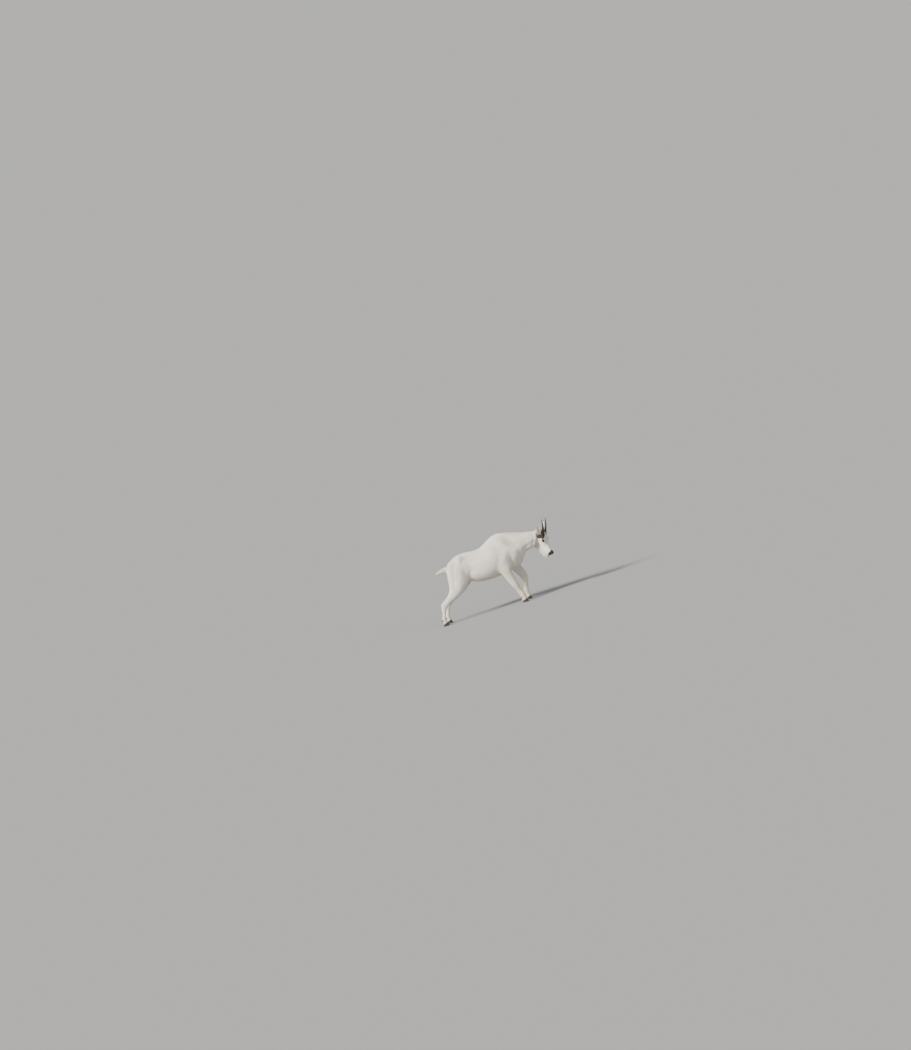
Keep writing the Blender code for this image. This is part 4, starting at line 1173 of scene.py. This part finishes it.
def build_tail_hair(skin, rng):
    """Longer hair over the tail."""
    roots, outward = scatter(skin.data, int(TAIL_TUFTS * LONG_SHARE), tail_place, 43)
    tips = aimed(roots, outward, (-0.95, 0, -0.22), 0.026, 0.14, rng)
    tips = gathered(roots, tips, 90, 0.3, rng)
    return long_tufts("tail_hair", roots, outward, tips, 0.0024, 0.002, 0.10, 3, 44)


def build_crown(skin, rng):
    """The tuft between and behind the horns."""
    roots, outward = scatter(skin.data, int(CROWN_TUFTS * LONG_SHARE), poll_place, 45)
    tips = aimed(roots, outward, HEAD_AXES @ np.array((-0.85, 0, 0.30)), 0.019, 0.2, rng)
    tips = gathered(roots, tips, 60, 0.3, rng)
    return long_tufts("crown_tuft", roots, outward, tips, 0.0018, 0.002, 0.1, 3, 46)


def build_coronet(skin, rng):
    """The hair that hangs over the claws and dewclaws."""
    roots, outward = scatter(skin.data, int(CORONET_TUFTS * LONG_SHARE), coronet_place, 47)
    flat = outward * (1, 1, 0)
    away = 0.27 - 0.20 * smooth_step(roots[:, 2], 0.030, 0.058)
    tips = roots + (flat * away[:, None] + GRAVITY) * rng.uniform(0.011, 0.020, (len(roots), 1))
    tips[:, 2] = np.maximum(tips[:, 2], 0.012)
    return long_tufts("coronet_hair", roots, outward, tips, 0.0020, 0.001, 0.0, 3, 48)


def build_fringes(skin):
    """All the longer hair."""
    rng = np.random.default_rng(40)
    return [build(skin, rng) for build in (build_beard, build_tail_hair, build_crown, build_coronet)]


def ear_rings(side, rows, half, inset=0.0):
    """Rings of one ear from its root to its tip, cupped open to the side and front."""
    base = mirrored(EAR_BASE, side)
    tip = mirrored(EAR_TIP, side)
    along = (tip - base).normalized()
    opening = mirrored(Vector(EAR_OPENING), side)
    opening = (opening - along * opening.dot(along)).normalized()
    across = along.cross(opening)
    length = (tip - base).length - 0.001
    rings = []
    for row in range(rows):
        t = row / (rows - 1)
        width = EAR_HALF_WIDTH * (0.05 + 0.95 * math.sin(math.pi * min(1, t * 0.85 + 0.12)) ** 0.9)
        width = max(width, 0.0016)
        wrap = math.radians(150 - 85 * t)
        radius = width / math.sin(min(wrap, math.pi / 2))
        thickness = EAR_THICKNESS * (1 - 0.55 * t)
        centre = base + along * (length * t) + opening * (radius * 0.35 - 0.004 * t)
        outer = []
        inner = []
        for i in range(half + 1):
            angle = -wrap + 2 * wrap * i / half
            edge = 1 - abs(2 * i / half - 1) ** 4
            fold = 0.0006 * math.cos(angle * 7) * math.sin(math.pi * t)
            direction = across * math.sin(angle) - opening * math.cos(angle)
            outer.append(centre + direction * (radius - inset))
            inner.append(centre + direction * (radius - 0.0010 - inset - (thickness + fold) * edge))
        rings.append(outer + inner[::-1])
    return rings


def build_ear(side, word):
    """The shell of one ear."""
    ear = smooth_object("ear_skin_" + word, [loft(ear_rings(side, 40, 28))], HEAD)
    mark_mesh(ear)
    local = to_head(positions(ear.data))
    facing = (normals(ear.data) @ HEAD_AXES) @ (np.array(EAR_OPENING) * (1, side, 1))
    inner = smooth_step(facing, 0.25, 0.75) * smooth_step(local[:, 0], -0.04, -0.01)
    paint_values(ear.data, "inner", inner)
    return ear


def build_ear_hair(ear, side, word):
    """Short hair on one ear, lying towards its tip."""
    roots, outward = scatter(ear.data, EAR_TUFTS, lambda points: np.ones(len(points)), 60 + side)
    rng = np.random.default_rng(70 + side)
    tip = mirrored(EAR_TIP, side)
    ahead = (tip - mirrored(EAR_BASE, side)).normalized()
    along = np.array(HEAD.to_3x3() @ ahead)
    lie = laid(along + 0.18 * rng.normal(size=(EAR_TUFTS, 3)), outward)
    left = np.clip((np.array(tip) - to_head(roots)) @ np.array(ahead), 0.002, 1)
    lengths = np.minimum(rng.uniform(0.006, 0.012, EAR_TUFTS), left + 0.003)
    tones = np.clip(0.6 + 0.2 * rng.normal(size=EAR_TUFTS), 0, 1)
    widths = rng.uniform(0.0008, 0.0016, EAR_TUFTS)
    heights = rng.uniform(0.0008, 0.0022, EAR_TUFTS)
    places = (0.2 + 0.15 * (side > 0), 0.8) + unwrap(roots, along) * (0.14, 0.19)
    name = "ear_hair_" + word
    return tuft_mesh(name, roots, outward, lie, lengths, widths, heights, tones, places=places)


def build_eye(side, word):
    """One eyeball with a slightly domed front."""
    gaze, forward, upward = eye_axes(side)
    shape = bmesh.new()
    bmesh.ops.create_uvsphere(shape, u_segments=64, v_segments=48, radius=EYE_RADIUS - 0.0002)
    for vertex in shape.verts:
        front = max(0.0, vertex.co.z / EYE_RADIUS - 0.80)
        vertex.co.z += front * 0.0008
    level = Matrix.Rotation(-side * PUPIL_ROLL, 3, gaze)
    forward, upward = level @ forward, level @ upward
    turn = Matrix((forward, upward, gaze)).transposed()
    if turn.determinant() < 0:
        bmesh.ops.reverse_faces(shape, faces=shape.faces)
    place = HEAD @ Matrix.Translation(mirrored(EYE_PLACE, side)) @ turn.to_4x4()
    eye = to_object("eyeball_" + word, [shape])
    points = positions(eye.data)
    for name, column in (("across", 0), ("above", 1), ("outward", 2)):
        paint_values(eye.data, name, points[:, column] / EYE_RADIUS)
    eye.data.transform(place)
    eye.data.update()
    eye.data.shade_smooth()
    return eye


def opening_edge(angle):
    """The edge of the eye's opening at an angle round it: forward and upward."""
    u = EYE_HALF_LENGTH * math.cos(angle)
    v = EYE_HALF_HEIGHT * math.sin(angle) * abs(math.sin(angle)) ** 0.3
    return u, v


def build_lids(side, word):
    """Both lids of one eye: a rounded dark edge on the ball, a crease, and a rim sunk in the skin."""
    gaze, forward, upward = eye_axes(side)
    centre = mirrored(EYE_PLACE, side)
    rings = []
    steps = 72
    for step in range(steps):
        angle = 2 * math.pi * step / steps
        u, v = opening_edge(angle)
        away = Vector((math.cos(angle) * 0.8, math.sin(angle), 0)).normalized()
        upper = max(0, math.sin(angle))
        ring = []
        for beyond, thick, black in LID_PROFILE:
            a = (u + away.x * beyond * 0.9) / EYE_RADIUS
            b = (v + away.y * beyond * (1 + 0.15 * upper)) / EYE_RADIUS
            flat = min(0.97, a * a + b * b)
            out = gaze * math.sqrt(1 - flat) + forward * a + upward * b
            ring.append(centre + out.normalized() * (EYE_RADIUS + thick * (1 + 0.35 * upper)))
        rings.append(ring)
    lids = smooth_object("lids_" + word, [loft(rings, closed=True)], HEAD)
    mark_mesh(lids, np.tile([black for beyond, thick, black in LID_PROFILE], steps))
    return lids


def build_lashes(side, word):
    """A row of lashes along the upper lid."""
    gaze, forward, upward = eye_axes(side)
    centre = mirrored(EYE_PLACE, side)
    rng = np.random.default_rng(80 + side)
    shapes = []
    for k in range(LASHES):
        angle = math.radians(18 + 144 * (k + rng.uniform(-0.3, 0.3)) / (LASHES - 1))
        u, v = opening_edge(angle)
        v += 0.0004
        out = gaze * math.sqrt(1 - (u * u + v * v) / EYE_RADIUS ** 2)
        out += forward * u / EYE_RADIUS
        out += upward * v / EYE_RADIUS
        root = centre + out * (EYE_RADIUS + 0.0014)
        length = rng.uniform(0.0045, 0.0070)
        sweep = forward * math.cos(angle) * 0.7 + upward * 0.15
        middle = root + (out * 0.8 + sweep * 0.5 - upward * 0.15).normalized() * length * 0.55
        tip = middle + (out * 0.6 + sweep * 0.6 + upward * 0.3).normalized() * length * 0.45
        shapes.append(tube([root, middle, tip], [0.00022, 0.00017, 0.00005], 4))
    return smooth_object("lashes_" + word, shapes, HEAD)


def build_horn(side, word):
    """A slim horn that bends a little backward, ringed near its root."""
    rows = HORN_ROWS
    start, middle, end = (mirrored(v, side) for v in (HORN_BASE, HORN_MIDDLE, HORN_TIP))
    control = middle * 2 - (start + end) / 2
    points = []
    radii = []
    for i in range(rows):
        t = i / (rows - 1)
        points.append(start * (1 - t) ** 2 + control * 2 * t * (1 - t) + end * t * t)
        plain = HORN_TIP_RADIUS + (HORN_RADIUS - HORN_TIP_RADIUS) * (1 - t) ** 0.85
        fading = max(0, 1 - t / 0.55)
        rings = abs(math.sin(math.pi * HORN_RINGS * t ** 0.92)) ** 0.6 * 0.0010 * fading
        radii.append(plain - 0.0009 * fading + rings)
    radii[-1] = 0.0006
    horn = smooth_object("horn_sheath_" + word, [tube(points, radii, HORN_SIDES)], HEAD)
    paint_values(horn.data, "along", np.repeat(np.arange(rows) / (rows - 1), HORN_SIDES))
    angle = np.tile(np.arange(HORN_SIDES) / HORN_SIDES * 2 * math.pi, rows)
    paint_values(horn.data, "round_a", np.cos(angle))
    paint_values(horn.data, "round_b", np.sin(angle))
    return horn


def claw_point(t, angle, toe, y, outward, under):
    """A point of a claw's wall at a share of its height and an angle round it, toe at angle 0."""
    c, s = math.cos(angle), math.sin(angle)
    rim = 0.965 if under else 1.0
    bulge = 1 - 0.04 * (1 - math.sin(math.pi * min(t * 1.15, 1) * 0.5))
    length = CLAW_LENGTH + (CLAW_TOP_LENGTH - CLAW_LENGTH) * t
    width = CLAW_WIDTH * (1 - 0.05 * t) * bulge * rim
    along = 0.5 + 0.5 * math.copysign(abs(c) ** (2 / (1.8 if c > 0 else 2.6)), c) * rim
    narrowing = 0.45 if s * outward > 0 else 0.10
    across = math.copysign(abs(s) ** (2 / 2.4), s) * (1 - narrowing * max(c, 0) ** 2)
    waves = 1 + 0.006 * math.sin(t * 40 + along * 3)
    aside = width / 2 * across * waves + CLAW_SPLAY * outward * length * along
    heel = max(0.0, 0.22 - along) / 0.22
    height = CLAW_REAR_HEIGHT + (CLAW_FRONT_HEIGHT - CLAW_REAR_HEIGHT) * along
    height = height * (t - 0.18 * heel * t * t) + (CLAW_EDGE if t == 0 and not under else 0)
    worn = 0.0040 * max(0.0, 1 - t / 0.22) ** 2 * smooth_step(along, 0.7, 1.0)
    bulb = 0.0035 * heel * math.sin(math.pi * min(1, t * 1.1))
    return Vector((toe - CLAW_LENGTH + length * along - worn - bulb, y + aside, height))


def build_claw(name, toe, y, outward):
    """One claw: flat sole, rounded wall, sloped toe and soft heel."""
    levels = 10
    around = 40
    rings = []
    for level in range(-1, levels):
        t = max(0, level) / (levels - 1)
        angles = [2 * math.pi * i / around for i in range(around)]
        rings.append([claw_point(t, angle, toe, y, outward, level < 0) for angle in angles])
    claw = smooth_object(name, [loft(rings)], Matrix.Translation(SHIFT))
    claw.data.set_sharp_from_angle(angle=math.radians(60))
    return claw


def build_dewclaws(kind, side, word, toe, y):
    """The two blunt spurs behind one pastern."""
    shares = (0, 0.2, 0.45, 0.65, 0.8, 0.92, 1)
    radii = [DEWCLAW_RADIUS * r for r in (0.9, 1.0, 0.97, 0.86, 0.68, 0.45, 0.15)]
    shapes = []
    for outward in (-1, 1):
        root = Vector((toe - CLAW_LENGTH + 0.008, side * y + outward * DEWCLAW_SPACING / 2, 0.073))
        tip = root + Vector((-0.55, outward * 0.12, -0.82)).normalized() * DEWCLAW_LENGTH
        shapes.append(tube([root.lerp(tip, t) for t in shares], radii, 20))
    return smooth_object(f"dewclaws_{kind}_{word}", shapes, Matrix.Translation(SHIFT))


class Nodes:
    """Short ways to build a material's node tree."""

    def __init__(self, name):
        self.material = bpy.data.materials.new(name)
        self.material.use_nodes = True
        self.tree = self.material.node_tree
        self.shader = self.tree.nodes["Principled BSDF"]

    def put(self, socket, value):
        """Links an output or sets a value."""
        if isinstance(value, bpy.types.NodeSocket):
            self.tree.links.new(value, socket)
        else:
            socket.default_value = value

    def mark(self, name):
        """A number stored on the mesh."""
        node = self.tree.nodes.new("ShaderNodeAttribute")
        node.attribute_name = name
        return node.outputs["Fac"]

    def give(self, name, value):
        """Links an output to one of the shader's sockets, or sets a value on it."""
        self.put(self.shader.inputs[name], value)

    def place(self):
        """The point in the world at rest."""
        return self.tree.nodes.new("ShaderNodeTexCoord").outputs["Object"]

    def join(self, *parts):
        """Three numbers as one place."""
        node = self.tree.nodes.new("ShaderNodeCombineXYZ")
        for socket, value in zip(node.inputs, parts):
            self.put(socket, value)
        return node.outputs["Vector"]

    def noise_at(self, place, scale, detail):
        """Noise at a place."""
        node = self.tree.nodes.new("ShaderNodeTexNoise")
        self.put(node.inputs["Vector"], place)
        self.put(node.inputs["Scale"], scale)
        self.put(node.inputs["Detail"], detail)
        return node.outputs["Fac"]

    def noise(self, scale, detail=3.0, stretch=(1, 1, 1)):
        """Noise at the point itself, stretched along an axis."""
        mapping = self.tree.nodes.new("ShaderNodeMapping")
        mapping.inputs["Scale"].default_value = stretch
        self.put(mapping.inputs["Vector"], self.place())
        return self.noise_at(mapping.outputs["Vector"], scale, detail)

    def math(self, operation, a, b=0.0):
        """One sum on numbers."""
        node = self.tree.nodes.new("ShaderNodeMath")
        node.operation = operation
        for socket, value in zip(node.inputs, (a, b)):
            self.put(socket, value)
        return node.outputs[0]

    def times(self, a, b):
        """The product of two numbers."""
        return self.math("MULTIPLY", a, b)

    def span(self, value, low, high, start=0.0, end=1.0):
        """Maps low to high onto start to end, smoothly and within them."""
        node = self.tree.nodes.new("ShaderNodeMapRange")
        node.interpolation_type = "SMOOTHSTEP"
        names = ("Value", "From Min", "From Max", "To Min", "To Max")
        for name, given in zip(names, (value, low, high, start, end)):
            self.put(node.inputs[name], given)
        return node.outputs["Result"]

    def mix(self, share, a, b):
        """Between two colours by a share."""
        node = self.tree.nodes.new("ShaderNodeMix")
        node.data_type = "RGBA"
        self.put(node.inputs[0], share)
        for socket, value in ((node.inputs[6], a), (node.inputs[7], b)):
            self.put(socket, (*value, 1) if isinstance(value, tuple) else value)
        return node.outputs[2]

    def bump(self, height, strength, distance):
        """Sends a height to the shader's normal."""
        node = self.tree.nodes.new("ShaderNodeBump")
        self.put(node.inputs["Height"], height)
        self.put(node.inputs["Strength"], strength)
        self.put(node.inputs["Distance"], distance)
        self.give("Normal", node.outputs["Normal"])


def coat_colour(look):
    """White to cream hair with dark places, partly painted shade, and bare black places."""
    white = look.mix(look.span(look.noise(9.0, 4.0), 0.35, 0.7), WHITE_HAIR, GREYER_HAIR)
    node = look.tree.nodes.new("ShaderNodeHueSaturation")
    look.put(node.inputs["Value"], look.span(look.mark("tone"), 0.0, 1.0, 0.89, 1.05))
    look.put(node.inputs["Color"], look.mix(look.times(look.mark("cream"), 0.75), white, CREAM_HAIR))
    # Dark share: dark brown hair, with painted shadow under the ear and painted shade at the muzzle end
    haired = look.mix(look.mark("dark"), node.outputs["Color"], DARK_HAIR_AND_PAINTED_SHADE)
    return look.mix(look.mark("black"), haired, BLACK_SKIN)


def coat_material():
    """Matt hair for the tufts."""
    look = Nodes("coat_hair")
    look.give("Base Color", coat_colour(look))
    look.give("Roughness", look.span(look.noise(60.0), 0.3, 0.7, 0.62, 0.80))
    look.give("Specular IOR Level", 0.25)
    look.give("Sheen Weight", 0.15)
    look.give("Sheen Roughness", 0.4)
    return look.material


def skin_material():
    """The short hair seen between the tufts, and bare black skin on nose and lips."""
    look = Nodes("coat_skin")
    black = look.mark("black")
    look.give("Base Color", coat_colour(look))
    look.give("Roughness", look.span(black, 0.2, 0.9, 0.85, 0.42))
    look.give("Specular IOR Level", 0.3)
    leather = look.times(black, look.noise(1400.0, 2.0))
    look.bump(look.math("ADD", look.noise(900.0, 2.0, (0.25, 1, 1)), leather), 0.6, 0.0006)
    return look.material


def ear_material():
    """Ear skin: white outside, a little pink in the cup."""
    look = Nodes("ear_skin")
    cup = look.times(look.mark("inner"), 0.25)
    look.give("Base Color", look.mix(cup, coat_colour(look), (0.72, 0.62, 0.56)))
    look.give("Roughness", look.span(look.noise(80.0), 0.3, 0.7, 0.60, 0.78))
    look.give("Subsurface Weight", 0.08)
    look.give("Subsurface Radius", (0.004, 0.002, 0.001))
    look.bump(look.noise(1000.0, 2.0), 0.4, 0.0004)
    return look.material


def eye_material():
    """A wet dark eye: slot of a pupil, dark brown iris with fine rays, near black around."""
    look = Nodes("eye")
    across = look.mark("across")
    above = look.mark("above")
    distance = look.math("SQRT", look.math("ADD", look.times(across, across), look.times(above, above)))
    turn = look.math("ARCTAN2", above, across)
    ray = (look.times(look.math(part, turn), 9.0) for part in ("COSINE", "SINE"))
    fibres = look.noise_at(look.join(*ray, look.times(distance, 1.5)), 1.6, 4.0)
    iris = look.mix(look.span(fibres, 0.35, 0.65), (0.010, 0.005, 0.003), (0.042, 0.021, 0.009))
    iris = look.mix(look.span(distance, 0.20, 0.52, 0.0, 0.6), iris, (0.020, 0.011, 0.006))
    around = look.mix(look.span(distance, 0.56, 0.66), iris, (0.008, 0.006, 0.005))
    long_way = look.math("POWER", look.math("DIVIDE", across, 0.40), 4.0)
    short_way = look.math("POWER", look.math("DIVIDE", above, 0.17), 4.0)
    pupil = look.span(look.math("ADD", long_way, short_way), 0.7, 1.3, 1.0, 0.0)
    front = look.span(look.mark("outward"), 0.0, 0.1)
    look.give("Base Color", look.mix(look.times(pupil, front), around, (0.002, 0.002, 0.003)))
    look.give("Roughness", look.span(look.noise(300.0), 0.3, 0.7, 0.06, 0.10))
    look.give("Specular IOR Level", 0.1)
    look.give("Coat Weight", 0.9)
    look.give("Coat Roughness", 0.03)
    return look.material


def horn_material():
    """Black horn with fine streaks along it and a dull, scuffed root."""
    look = Nodes("horn")
    along = look.mark("along")
    place = look.join(look.mark("round_a"), look.mark("round_b"), look.times(along, 0.8))
    streaks = look.noise_at(place, 9.0, 5.0)
    dull = look.span(along, 0.0, 0.45, 1.0, 0.0)
    worn = look.mix(look.span(streaks, 0.45, 0.75), (0.012, 0.011, 0.011), (0.050, 0.043, 0.038))
    dust = look.times(dull, look.span(look.noise(220.0, 4.0), 0.45, 0.7))
    look.give("Base Color", look.mix(dust, worn, (0.055, 0.047, 0.040)))
    smooth_part = look.span(streaks, 0.3, 0.7, 0.28, 0.42)
    look.give("Roughness", look.math("ADD", look.times(dull, 0.22), smooth_part))
    look.bump(streaks, 0.35, 0.0006)
    return look.material


def hoof_material():
    """Dark hoof wall with growth rings, paler and scuffed towards the ground."""
    look = Nodes("hoof")
    split = look.tree.nodes.new("ShaderNodeSeparateXYZ")
    look.put(split.inputs[0], look.place())
    height = split.outputs["Z"]
    wavy = look.math("ADD", height, look.times(look.noise(30.0), 0.006))
    rings = look.math("SINE", look.times(wavy, 1100.0))
    fine = look.noise(700.0, 4.0, (1, 1, 0.12))
    wall = look.mix(look.span(fine, 0.35, 0.7), (0.022, 0.018, 0.016), (0.048, 0.040, 0.034))
    broad = look.span(look.noise(60.0, 3.0), 0.4, 0.75, 0.0, 0.6)
    wall = look.mix(broad, wall, (0.070, 0.058, 0.048))
    scuffs = look.span(look.noise(90.0, 4.0), 0.35, 0.7)
    worn = look.times(look.span(height, 0.0, 0.016, 0.8, 0.0), scuffs)
    look.give("Base Color", look.mix(worn, wall, (0.17, 0.145, 0.12)))
    look.give("Roughness", look.span(fine, 0.3, 0.7, 0.48, 0.68))
    look.bump(look.math("ADD", fine, look.times(rings, 0.22)), 0.45, 0.0005)
    return look.material


def lash_material():
    """Dark lashes."""
    look = Nodes("lash")
    look.give("Base Color", look.mix(look.noise(300.0), (0.02, 0.017, 0.015), (0.06, 0.05, 0.04)))
    look.give("Roughness", 0.5)
    return look.material


def floor_material():
    """Plain pale floor."""
    look = Nodes("floor")
    look.give("Base Color", (*FLOOR_COLOUR, 1))
    look.give("Roughness", 0.95)
    look.give("Specular IOR Level", 0.1)
    return look.material


def dress(thing, material, slot, *nodes):
    """Finishes a piece: its material, the body it rides on and what it replaces. The slot argument is
    not used.
    """
    thing.data.materials.clear()
    thing.data.materials.append(material)
    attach(thing, "root")
    if nodes:
        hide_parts(*nodes)


def build_floor():
    """A wide plain floor under the hooves."""
    shape = bmesh.new()
    bmesh.ops.create_grid(shape, x_segments=1, y_segments=1, size=FLOOR_HALF_SIZE)
    floor = to_object("floor", [shape])
    floor.data.materials.append(floor_material())


def build_light():
    """Soft studio light: a broad key from the upper left rear, a weak fill ahead, and a pale room."""
    for name, strength, width, tint, aim in LIGHTS:
        lamp = bpy.data.lights.new(name, "SUN")
        lamp.energy = strength
        lamp.color = tint
        lamp.angle = math.radians(width)
        thing = in_scene(name, lamp)
        thing.rotation_mode = "QUATERNION"
        thing.rotation_quaternion = aim.to_track_quat("Z", "Y")
        thing.location = aim * 5
    world = bpy.data.worlds.new("studio")
    world.use_nodes = True
    back = world.node_tree.nodes["Background"]
    back.inputs["Color"].default_value = (0.93, 0.96, 1.0, 1)
    back.inputs["Strength"].default_value = ROOM_LIGHT
    bpy.context.scene.world = world


def build_camera():
    """A long lens far off the right side, rolled until the line of the hooves slopes as photographed."""
    dx = PHOTO_WIDTH / 2 - HIND_HOOF_POINT[0]
    dy = PHOTO_HEIGHT / 2 - HIND_HOOF_POINT[1]
    x = (dx * math.cos(PHOTO_SLOPE) - dy * math.sin(PHOTO_SLOPE)) / POINTS_PER_METRE
    z = (-dx * math.sin(PHOTO_SLOPE) - dy * math.cos(PHOTO_SLOPE)) / POINTS_PER_METRE
    aim = Vector((x, 0, z)) + SHIFT
    back = Vector((0, -math.cos(CAMERA_RISE), math.sin(CAMERA_RISE)))
    level = Vector((1, 0, 0))
    upright = back.cross(level)
    right = level * math.cos(PHOTO_SLOPE) - upright * math.sin(PHOTO_SLOPE)
    up = level * math.sin(PHOTO_SLOPE) + upright * math.cos(PHOTO_SLOPE)
    lens = bpy.data.cameras.new("camera")
    lens.sensor_width = SENSOR
    lens.lens = SENSOR * CAMERA_DISTANCE * POINTS_PER_METRE / PHOTO_HEIGHT
    lens.clip_start = 1
    lens.clip_end = 6000
    camera = in_scene("camera", lens)
    axes = Matrix((right, up, back)).transposed().to_4x4()
    camera.matrix_world = Matrix.Translation(aim + back * CAMERA_DISTANCE) @ axes
    bpy.context.scene.camera = camera


def build_head_parts(hair, skin_look):
    """Eyes, lids, lashes, horns and ears."""
    eye_look = eye_material()
    lash_look = lash_material()
    horn_look = horn_material()
    ear_look = ear_material()
    for side, word in SIDES:
        dress(build_eye(side, word), eye_look, "eye", "eye_" + word)
        dress(build_lids(side, word), skin_look, "coat")
        dress(build_lashes(side, word), lash_look, "horn")
        dress(build_horn(side, word), horn_look, "horn", "horn_" + word)
        ear = build_ear(side, word)
        dress(ear, ear_look, "ear", "ear_" + word)
        dress(build_ear_hair(ear, side, word), hair, "ear")


def build_feet():
    """Claws and dewclaws."""
    look = hoof_material()
    for kind, side, word, toe, y in FEET:
        for outward, part in ((side, "outer"), (-side, "inner")):
            centre = side * y + outward * CLAW_SPACING / 2
            claw = build_claw(f"claw_{kind}_{word}_{part}", toe, centre, outward)
            dress(claw, look, "hoof", f"hoof_{kind}_{word}_{part}")
        dress(build_dewclaws(kind, side, word, toe, y), look, "hoof")


def build_goat():
    """All pieces of the goat."""
    hair = coat_material()
    skin_look = skin_material()
    skin = build_skin()
    mark_mesh(skin)
    skin.data.shade_smooth()
    for piece in build_coat(skin) + build_fringes(skin):
        dress(piece, hair, "coat")
    dress(skin, skin_look, "coat", *FLESH_NODES)
    build_head_parts(hair, skin_look)
    build_feet()


build_camera()
build_light()
build_floor()
build_goat()
